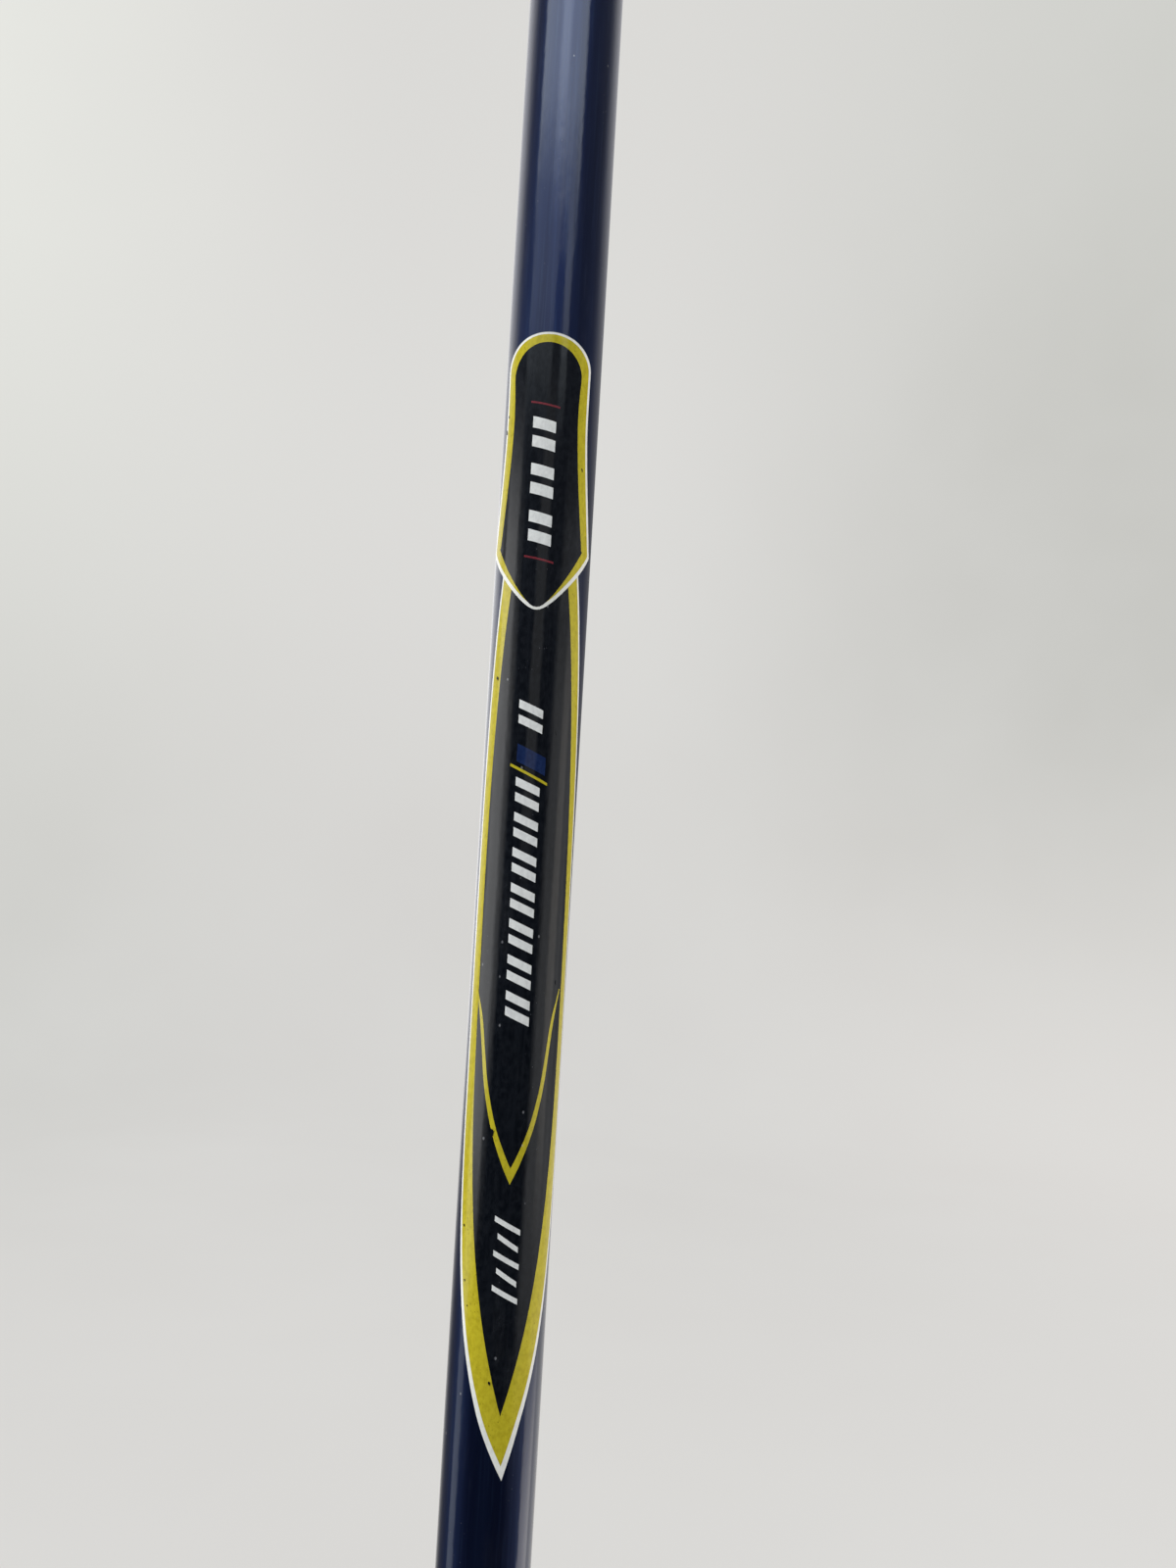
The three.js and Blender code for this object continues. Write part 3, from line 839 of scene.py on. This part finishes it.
def make_chevron():
    """The yellow line that leaves both borders and meets in a point across the blade."""
    top, notch, tip = 97.2, 121.9, 124.1
    outer = [(top, 57), (101.7, 47.8), (106, 42.4), (110.5, 37.2), (116.2, 26.2), (121.2, 11.2), (tip, 0)]
    inner = [(top, 55.5), (101.7, 43.3), (106, 37.7), (110.5, 31.9), (116.2, 20), (121.2, 3), (notch, 0)]
    belows = np.array([*np.arange(top, 121, 0.6), *np.arange(121.1, 124, 0.2), tip])
    for side, name in ((-1, "chevron_left"), (1, "chevron_right")):
        centre = np.array([label_centre(b) for b in belows])
        far = np.array([max(0.02, through(outer, b)) for b in belows])
        near = np.array([through(inner, b) if b < notch else 0 for b in belows])
        share = np.linspace(0, 1, 5) if side > 0 else np.linspace(1, 0, 5)
        angles = centre[:, None] + side * (near[:, None] + (far - near)[:, None] * share)
        wrapped(name, angles, belows[:, None] + 0 * share, 0.080, yellow_ink)


def bar(name, below, thickness, left, right, slant, surface, lift=0.140):
    """A plain slanted bar across the label, from one angle to another beside its centre line."""
    across, down = np.meshgrid(np.linspace(0, 1, 13), np.linspace(-0.5, 0.5, 3))
    belows = below + slant * (across - 0.5) + thickness * down
    angles = label_centre(below) + left + (right - left) * across
    wrapped(name, angles, belows, lift, surface)


def make_marks():
    """Plain bars where the label is lettered."""
    badge_top, badge_pitch = 15.9, 7.2
    blade_top, blade_pitch = 58.4, 5.05
    range_top, range_pitch = 129.6, 2.3
    for i in range(3):
        for j, half in ((1, -1), (2, 1)):
            middle = badge_top + badge_pitch * i + 1.45 * half
            bar(f"badge_bar_{2 * i + j}", middle, 1.75, -13.5, 13.5, 0.9, silver_ink)
    for i, below in enumerate((11.3, 35.0)):
        bar(f"badge_rule_{i + 1}", below, 0.3, -17, 17.5, 0.9, red_ink)
    for i in range(9):
        middle = blade_top + blade_pitch * i + (1.2 if i else 0)
        if i == 1:
            bar("blade_bar_blue", middle, 2.6, -14.5, 19, 1.9, blue_ink)
            continue
        for half in (-1, 1):
            bar(f"blade_bar_{i + 1}_{half + 2}", middle + half * 1.1, 1.25, -14.5, 13.5, 1.5, silver_ink)
    bar("blade_accent_rule", 66.8, 0.42, -22, 22, 2.6, yellow_ink, 0.150)
    for i in range(5):
        odd = i % 2
        below = range_top + range_pitch * i
        bar(f"range_bar_{i + 1}", below, 0.75, -15 + 4 * odd, 15 - 2 * odd, 1.9, silver_ink)


def make_nicks():
    """Small chips in the print, each a ragged dark patch: (below, angle beside the centre, size)."""
    nicks = [
        (117.2, -23, 0.8), (14.5, -55.5, 0.7), (12.2, -52, 0.45), (130.4, -57, 0.35), (137.6, -51, 0.3),
        (140.8, -45, 0.25), (148.6, -12, 0.35), (150.4, -13.5, 0.45), (20.4, 50, 0.5), (96.3, 49, 0.55),
        (52.6, -47.5, 0.5), (60.5, 31, 0.4),
    ]
    for i, (below, beside, size) in enumerate(nicks):
        across, down = np.meshgrid(np.linspace(-1, 1, 5), np.linspace(-1, 1, 5))
        ragged = 1 + 0.35 * np.sin(3.1 * across + 2.3 * down + 1.7 * i)
        narrow = np.sqrt(np.maximum(0.02, 1 - down**2))
        belows = below + 0.6 * size * down
        angles = label_centre(below) + beside + 2.4 * size * across * narrow * ragged + 1.2 * size * down
        wrapped(f"label_nick_{i + 1}", angles, belows, 0.134, black_ink)


make_label()
make_chevron()
make_marks()
make_nicks()


# ---- Ferrule ----

def polished(name, colour, second, roughness):
    """Polished acetate with faint marbling, rubbed marks and a little dust."""
    surface, s = material(name)
    cloud = s.noise(260, 4.0)
    rubbed = s.noise((500, 500, 6000), 3.0, 0.6)
    dust = s.times(s.step(s.cells(700), 0.09, 0.04), 0.35)
    s.principled(
        base_color=s.mix(dust, s.mix(s.step(cloud, 0.35, 0.65), colour, second), (0.4, 0.4, 0.4)),
        roughness=s.plus(roughness, s.times(rubbed, 0.16)),
        coat_weight=0.4,
        coat_roughness=0.08,
        normal=s.bump(rubbed, 0.00001, 0.4),
    )
    return surface


def eased(inner, outer, bottom, top, ease):
    """The profile of a ring whose outer edges are rounded."""
    quarter = np.linspace(0, math.pi / 2, 5)
    low = [(outer - ease + ease * math.sin(t), bottom + ease - ease * math.cos(t)) for t in quarter]
    high = [(outer - ease + ease * math.cos(t), top - ease + ease * math.sin(t)) for t in quarter]
    return [(inner, bottom), *low, *high, (inner, top)]


def make_ferrule():
    """Rings on the shaft above the neck: a black base, a thin yellow trim and a black tapered collar."""
    black = polished("ferrule_black_acetate", (0.006, 0.006, 0.007), (0.010, 0.010, 0.012), 0.16)
    yellow = polished("ferrule_yellow_acetate", (0.56, 0.48, 0.035), (0.50, 0.42, 0.030), 0.2)
    bore = TIP_RADIUS + 0.08
    base_bottom, base_top = NECK_TOP + 0.2 - CLUB_LENGTH, NECK_TOP + 8 - CLUB_LENGTH
    trim_top = base_top + 1.6
    turned("ferrule_base_ring", eased(bore, 6.7, base_bottom, base_top, 0.2), black, "ferrule_base")
    trim = eased(bore, 6.75, base_top + 0.1, trim_top, 0.35)
    turned("ferrule_trim", trim, yellow, "ferrule_trim_ring")
    bottom, foot, mouth = trim_top + 0.1, 6.6, TIP_RADIUS + 0.55
    top = bottom + 14
    rise = np.linspace(0.02, 0.97, 24)
    side = [(mouth + (foot - mouth) * (1 - t) ** 1.4, bottom + (top - bottom) * t) for t in rise]
    profile = [(bore, bottom), (foot - 0.2, bottom), *side, (mouth - 0.1, top), (bore, top)]
    turned("ferrule_cone", profile, black, "ferrule_collar")


# ---- Grip ----

GRIP_TOP, GRIP_MOUTH, GRIP_BORE, LIP_HEIGHT = -6.7, -267, 8.05, 5
WRAP_PITCH = 19


def rubber(name, colour, holes=False):
    """Moulded rubber: fine grain, a dusty bloom, and a shine where hands have worn it."""
    surface, s = material(name)
    grain = s.noise(2600, 4.0, 0.7)
    bloom = s.noise((55, 55, 30), 4.0, 0.6)
    tone = s.mix(s.step(bloom, 0.35, 0.75), colour, [2.3 * c for c in colour])
    tone = s.mix(s.times(s.step(grain, 0.55, 0.8), 0.4), tone, [3.5 * c for c in colour])
    height = grain
    if holes:
        x, y, z = s.place()
        turn = s.times(s.math("ARCTAN2", x, y), 28 / (2 * math.pi))
        row = s.times(z, 1 / (2.1 * MM))
        odd = s.times(s.math("MODULO", s.math("FLOOR", row), 2), 0.5)
        across = s.minus(s.math("FRACT", s.plus(turn, s.math("ABSOLUTE", odd))), 0.5)
        down = s.minus(s.math("FRACT", row), 0.5)
        reach = s.plus(s.times(across, across), s.times(down, down))
        hole = s.step(reach, 0.035, 0.015)
        # Each hole's darker colour is a painted shade inside the hole; the dent itself is in the bump.
        tone = s.mix(s.times(hole, 0.8), tone, [0.3 * c for c in colour])
        height = s.minus(s.times(grain, 0.35), hole)
    s.principled(
        base_color=tone,
        roughness=s.plus(0.62, s.times(bloom, 0.25)),
        specular_ior_level=0.35,
        normal=s.bump(height, 0.00012, 0.7),
    )
    return surface


def make_grip():
    """A tapered sleeve with a wrap's spiral seam moulded into it, and a plain lip at its mouth."""
    sides, lip_top = 104, GRIP_MOUTH + LIP_HEIGHT
    heights = np.arange(lip_top + 1, GRIP_TOP, 0.7)
    t = (heights - lip_top - 1) / (GRIP_TOP - lip_top - 1)
    mouth_radius, top_radius = 9.2, 12.9
    plain = mouth_radius + (top_radius - mouth_radius) * (0.45 * t + 0.55 * t**3.2)
    turn = np.arange(sides) / sides
    phase = (heights[:, None] / WRAP_PITCH + turn) % 1
    beside = np.minimum(phase, 1 - phase) * WRAP_PITCH
    companion = np.abs(phase * WRAP_PITCH - 2.4)
    inside = np.clip((heights - lip_top - 5) / 4, 0, 1) * np.clip((GRIP_TOP - 6 - heights) / 4, 0, 1)
    seam = np.clip((1.3 - beside) / 0.7, 0, 1)
    line = np.clip((0.75 - companion) / 0.5, 0, 1)
    swell = np.sin(math.pi * phase) ** 0.5
    depth = 0.55 * seam + 0.22 * line - 0.18 * swell
    radius = plain[:, None] - depth * inside[:, None]
    lip = [(9.4, GRIP_MOUTH), (9.75, GRIP_MOUTH + 0.3), (9.9, GRIP_MOUTH + 0.9)]
    lip += [(9.9, lip_top - 0.6), (9.75, lip_top - 0.1), (9.4, lip_top + 0.3)]
    bore = [(top_radius, GRIP_TOP), (GRIP_BORE, GRIP_TOP), (GRIP_BORE, GRIP_MOUTH)]
    rows = [*lip, *zip(radius, heights), *bore]
    angle = 2 * np.pi * turn
    outward = np.stack([np.sin(angle), -np.cos(angle)], -1)
    rings = [np.column_stack([outward * np.reshape(r, (-1, 1)), np.full(sides, z)]) for r, z in rows]
    surface = rubber("grip_rubber_wrap", (0.0085, 0.009, 0.0105), holes=True)
    made = mesh("grip_wrap", np.concatenate(rings), ring_faces(len(rows), sides), surface, 35)
    finish_piece(made, "grip_sleeve")


def make_cap():
    """The grip's cap: a bead round its edge, a domed shoulder, a ring groove and a chamfered vent."""
    flat, outer, thick, depth = 10.6, 13.3, 6.4, 2.6
    quarter = np.linspace(0, math.pi / 2, 10)
    shoulder = [(flat + (outer - flat) * math.cos(t), -depth + depth * math.sin(t)) for t in quarter]
    bead = [(outer + 0.05, -5.3), (outer - 0.25, -5.0), (outer - 0.25, -4.6), (outer, -4.3)]
    groove = [(8.4, 0), (8.2, -0.35), (7.5, -0.35), (7.3, 0)]
    vent = [(2.5, 0), (2.15, -0.12), (2, -0.5)]
    profile = [(2, -thick), (outer - 0.4, -thick), (outer, -thick + 0.4), *bead, *shoulder, *groove, *vent]
    turned("grip_cap_moulded", profile, rubber("grip_rubber_cap", (0.0095, 0.0098, 0.011)), "grip_cap")


make_ferrule()
make_grip()
make_cap()


# ---- Head: its finishes ----

def head_axes(s):
    """Moves the coordinates to the head's frame, on the ground, and gives them one by one, in metres."""
    place, moved = s.coordinates, s.add("CombineXYZ")
    for i, offset in enumerate(CLUB_LENGTH * MM * HEAD_AXES[2]):
        dot = s.add("VectorMath", operation="DOT_PRODUCT")
        s.put(dot.inputs[0], place)
        dot.inputs[1].default_value = HEAD_AXES[:, i]
        s.put(moved.inputs[i], s.plus(dot.outputs["Value"], offset))
    s.coordinates = moved.outputs[0]
    return s.place()


def face_depth(s, axes):
    """Metres out from the face's bulging surface."""
    x, y, z = (s.minus(axis, float(middle) * MM) for axis, middle in zip(axes, FACE_MIDDLE))
    out = s.plus(s.times(y, math.cos(LOFT)), s.times(z, math.sin(LOFT)))
    up = s.minus(s.times(z, math.cos(LOFT)), s.times(y, math.sin(LOFT)))
    bulge = s.plus(s.times(x, x), s.times(up, up))
    return s.plus(out, s.times(bulge, 1 / (2 * FACE_RADIUS * MM)))


def brushed_steel(name, colour, along, roughness, grit=0.0):
    """Steel with its grinding marks along the head, a few scratches and dull patches."""
    surface, s = material(name)
    head_axes(s)
    marks = s.noise(along, 4.0, 0.65)
    patches = s.noise(90, 4.0, 0.6)
    scratch = s.step(s.noise((60, 700, 500), 2.0, 0.5), 0.70, 0.76)
    blast = s.noise(4200, 2.0, 0.7)
    tone = s.mix(s.step(marks, 0.3, 0.75), colour, [0.78 * c for c in colour])
    tone = s.mix(s.times(s.step(patches, 0.5, 0.75), 0.35), tone, [0.62 * c for c in colour])
    tone = s.mix(s.times(scratch, 0.5), tone, [1.15 * c for c in colour])
    rough = s.plus(roughness, s.times(patches, 0.22))
    height = s.plus(s.times(marks, 1 - grit), s.times(blast, grit))
    s.principled(base_color=tone, metallic=1.0, roughness=rough, normal=s.bump(height, 0.00004, 0.5))
    return surface


def head_paint():
    """Dark blue metallic paint under a clear coat. It stops just behind the face, at bare steel."""
    surface, s = material("head_paint_blue")
    axes = head_axes(s)
    flakes = s.cells(5200)
    cloud = s.noise(45, 4.0, 0.6)
    peel = s.noise(420, 2.0)
    blue = s.mix(s.step(cloud, 0.3, 0.7), (0.006, 0.011, 0.058), (0.011, 0.018, 0.085))
    blue = s.mix(s.times(s.step(flakes, 0.2, 0.03), 0.55), blue, (0.07, 0.10, 0.30))
    scuffs = s.step(s.noise((260, 1400, 1400), 3.0, 0.6), 0.66, 0.74)
    scuffs = s.times(scuffs, s.step(axes[2], 0.011, 0.003))
    past_heel = s.step(axes[0], -0.0085, -0.0081)
    front = s.times(s.step(face_depth(s, axes), -0.00130, -0.00115), past_heel)
    bare = s.math("MAXIMUM", front, s.times(scuffs, 0.85))
    marks = s.noise((60, 1800, 1800), 3.0, 0.6)
    steel = s.mix(s.step(marks, 0.3, 0.7), (0.50, 0.50, 0.51), (0.40, 0.40, 0.41))
    s.principled(
        base_color=s.mix(bare, blue, steel),
        metallic=s.plus(0.8, s.times(bare, 0.2)),
        roughness=s.minus(0.42, s.times(bare, 0.08)),
        coat_weight=s.minus(1.0, bare),
        coat_roughness=0.05,
        coat_normal=s.bump(peel, 0.00003, 0.3),
        normal=s.bump(marks, 0.00001, 0.3),
    )
    return surface


def brass(name):
    """Turned brass: rings left by the tool about its middle, and brown tarnish."""
    surface, s = material(name)
    axes = head_axes(s)
    x, y = (s.minus(axis, middle * MM) for axis, middle in zip(axes, PLUG_MIDDLE))
    reach = s.math("SQRT", s.plus(s.times(x, x), s.times(y, y)))
    rings = s.math("SINE", s.times(reach, 2 * math.pi / 0.00035))
    tarnish = s.noise(380, 4.0, 0.6)
    tone = s.mix(s.step(tarnish, 0.4, 0.7), (0.62, 0.44, 0.16), (0.36, 0.24, 0.09))
    rough = s.plus(0.24, s.times(tarnish, 0.25))
    s.principled(base_color=tone, metallic=1.0, roughness=rough, normal=s.bump(rings, 0.00002, 0.5))
    return surface


# ---- Head: its pieces ----

def face_outline(gap):
    """The plate's edge, as places on the face: an oval, kept inside the edge of the head."""
    count = 112
    middle_x, middle_up, half_length, half_height = FACE_OVAL
    edge = oval((0, 0), half_length, half_height, count)
    low, high = np.zeros(count), np.ones(count)
    for _ in range(24):
        share = (low + high) / 2
        x, up = middle_x + share * edge[:, 0], middle_up + share * edge[:, 1]
        inside = whole_form(on_face(x, up, 0.0), 4.5) < 0
        low, high = np.where(inside, share, low), np.where(inside, high, share)
    size = np.linalg.norm(edge, axis=1)
    reach = low * size
    for _ in range(4):
        reach = 0.5 * reach + 0.25 * (np.roll(reach, 1) + np.roll(reach, -1))
    return np.array([middle_x, middle_up]) + edge / size[:, None] * (reach + gap)[:, None]


def face_rings(gap, back, front, ease=0.0):
    """Rings of a block that follows the face, from its back's middle to its front's middle."""
    edge = face_outline(gap)
    middle = edge.mean(0)

    def ring(share, out, inset=0.0):
        span = edge - middle
        reach = np.linalg.norm(span, axis=1)[:, None]
        place = middle + span * (share * (1 - inset / reach))
        return on_face(place[:, 0], place[:, 1], out)

    shares = np.linspace(0.04, 1, 22)
    rings = [ring(k, back) for k in shares]
    rings += [ring(1, back + (front - back) * k) for k in (0.3, 0.6)]
    if ease:
        rings += [ring(1, front - ease), ring(1, front - 0.3 * ease, 0.3 * ease), ring(1, front, ease)]
        shares = np.linspace(0.98, 0.04, 22)
    else:
        shares = shares[::-1]
    return rings + [ring(k, front) for k in shares]


def make_head_body():
    """The head's hollow shell, with a pocket for the face, an opening in the sole and the neck's bore."""
    vertices, faces = surface_net(outer_distance, low=(-41, -47, -3), high=(77, 20, 56), cell=0.85)
    paint = head_paint()
    body = mesh("head_shell", vertices, faces, paint, 35, head=True)
    vertices, faces = surface_net(inner_distance, low=(-22, -45, 0), high=(74, 20, 36), cell=1.9)
    hollow = mesh("hollow", vertices, faces, paint, 35, head=True)
    pocket = closed_piece("pocket", face_rings(SEAM, -7, 5), paint)
    opening = closed_piece("opening", sole_rings(SEAM, 14, -6), paint)
    axis, chamfer, clear = 0.01, 0.35, 6
    hole = [(axis, BORE_FLOOR), (BORE_RADIUS, BORE_FLOOR), (BORE_RADIUS, NECK_TOP - chamfer)]
    hole += [(BORE_RADIUS + chamfer, NECK_TOP), (NECK_RADIUS + 3, NECK_TOP)]
    hole += [(NECK_RADIUS + 3, NECK_TOP + clear), (axis, NECK_TOP + clear)]
    bore = closed_piece("bore", round_axis(hole), paint)
    cut(body, hollow, pocket, opening, bore)
    smooth(body, 35)
    finish_piece(body, "head_body")


def make_face_plate():
    """A bulged plate with two columns of score lines."""
    surface = brushed_steel("face_plate_steel", (0.52, 0.52, 0.53), 900, 0.36, grit=0.8)
    plate = closed_piece("face_insert", face_rings(0, -2.8, 0, ease=0.25), surface, 25)
    grooves = []
    for i in range(8):
        up = -8.4 + 2.5 * i
        edge = face_outline(0)
        level = edge[np.argsort(np.abs(edge[:, 1] - up))[:8]]
        left, right = level[:, 0].min() + 4.0, level[:, 0].max() - 5.0
        for start, end in ((left, FACE_OVAL[0] - 9), (FACE_OVAL[0] + 9, right)):
            if end - start > 3:
                grooves.append(score_line(start, end, up))
    cut(plate, *grooves)
    smooth(plate, 25)
    finish_piece(plate, "face_plate")


def score_line(start, end, up):
    """A cutter for a shallow groove along the face, with sloping sides and round ends."""
    rings = []
    count = max(6, int((end - start) / 1.5))
    t = np.linspace(0, 2 * np.pi, 13)[:-1]
    for i, x in enumerate(np.linspace(start, end, count)):
        size = 0.45 if i in (0, count - 1) else 1.0
        rings.append(on_face(x + 0 * t, up + 0.48 * size * np.cos(t), 0.42 * size * np.sin(t)))
    return closed_piece("score_line", rings, bpy.data.materials["face_plate_steel"])


def sole_rings(gap, top, under):
    """Rings of a block over the sole's oval, from its upper side's middle to its lower side's middle."""
    x, y, half_length, half_width = SOLE_OVAL
    edge = oval((0, 0), half_length + gap, half_width + gap, 112)
    ring = lambda share, z: np.column_stack([np.array([x, y]) + edge * share, np.full(len(edge), z)])
    shares = np.linspace(0.05, 1, 6)
    return [ring(k, top) for k in shares] + [ring(k, under) for k in shares[::-1]]


def make_sole_plate():
    """A plate let into the sole, with a hole for the plug and two fine lines engraved along its edge."""
    count = 160
    x, y, half_length, half_width = SOLE_OVAL
    outer = oval((x, y), half_length, half_width, count)
    hole = oval(PLUG_MIDDLE, PLUG_RADIUS + SEAM, PLUG_RADIUS + SEAM, count)
    lines = ((0.86, 0.018), (0.92, 0.010))  # each line's place and width, as shares of the way from the hole
    line_depth, edge_ease = 0.28, 0.15
    fine = np.concatenate([np.linspace(at - 1.6 * wide, at + 1.6 * wide, 9) for at, wide in lines])
    shares = np.unique(np.concatenate([np.linspace(0, 1, 30), fine, [0.012, 0.988]]))

    def ring(share, lift):
        place = hole * (1 - share) + outer * share
        return np.column_stack([place, sole_height(*place.T, lift)])

    def engraved(share):
        cuts = [np.clip((wide - abs(share - at)) / (0.5 * wide), 0, 1) for at, wide in lines]
        return line_depth * sum(cuts) + (edge_ease if share in (0, 1) else 0)

    rings = [ring(k, engraved(k)) for k in shares] + [ring(k, WALL) for k in shares[::-1]]
    surface = brushed_steel("sole_plate_steel", (0.56, 0.56, 0.575), (35, 1700, 1700), 0.26)
    faces = ring_faces(len(rings), count)
    made = mesh("sole_insert", np.concatenate(rings), faces, surface, head=True)
    face_out(made, 30)
    finish_piece(made, "sole_plate")


def make_sole_plug():
    """A brass plug, faced off with the sole: a rounded edge, turning marks and a small centre dimple."""

    def ring(radius, lift):
        place = oval(PLUG_MIDDLE, radius, radius, 72)
        return np.column_stack([place, sole_height(*place.T) + lift])

    dimple = [(0.05, 0.35), (0.5, 0.3), (0.9, 0)]
    edge = [(4.75, 0.02), (4.93, 0.1), (5, 0.3)]
    below = [ring(r, lift) for r, lift in (*dimple, (2, 0), (3.2, 0), (4.2, 0), *edge)]
    above = [ring(r, 3.6) for r in (5, 3, 1, 0.05)]
    made = closed_piece("sole_plug_disc", below + above, brass("plug_turned_brass"))
    finish_piece(made, "sole_plug")


make_head_body()
make_face_plate()
make_sole_plate()
make_sole_plug()


# ---- Hidden pieces: the solids stay, with their own finishes ----

# For each node: its material's name, its two colours, its grain in counts per metre, roughness and metalness.
HIDDEN = {
    "grip_tape": ("tape_paper_weave", (0.72, 0.68, 0.55), (0.60, 0.55, 0.42), 1500, 0.9, 0),
    "tip_epoxy_sleeve": ("epoxy_cured", (0.55, 0.48, 0.30), (0.45, 0.38, 0.20), 600, 0.3, 0),
    "tip_weight_pin": ("pin_turned_brass", (0.60, 0.43, 0.15), (0.50, 0.34, 0.12), (500, 500, 6000), 0.3, 1),
    "shaft_cork": ("cork_grain", (0.45, 0.28, 0.13), (0.30, 0.17, 0.07), 900, 0.95, 0),
    "foam_core": ("foam_cells", (0.70, 0.64, 0.36), (0.60, 0.53, 0.28), 700, 0.95, 0),
}


def hidden_finish(name, colour, second, scale, roughness, metallic):
    surface, s = material(name)
    grain = s.noise(scale, 4.0, 0.65)
    spots = s.cells(0.5 * np.array(scale))
    tone = s.mix(s.step(grain, 0.35, 0.7), colour, second)
    tone = s.mix(s.times(s.step(spots, 0.25, 0.08), 0.4), tone, [0.6 * c for c in second])
    bump = s.bump(grain, 0.0001, 0.6)
    s.principled(base_color=tone, roughness=roughness, metallic=metallic, normal=bump)
    return surface


def finish_hidden():
    for name, finish in HIDDEN.items():
        data = nodes[name].data
        data.materials.clear()
        data.materials.append(hidden_finish(*finish))


finish_hidden()
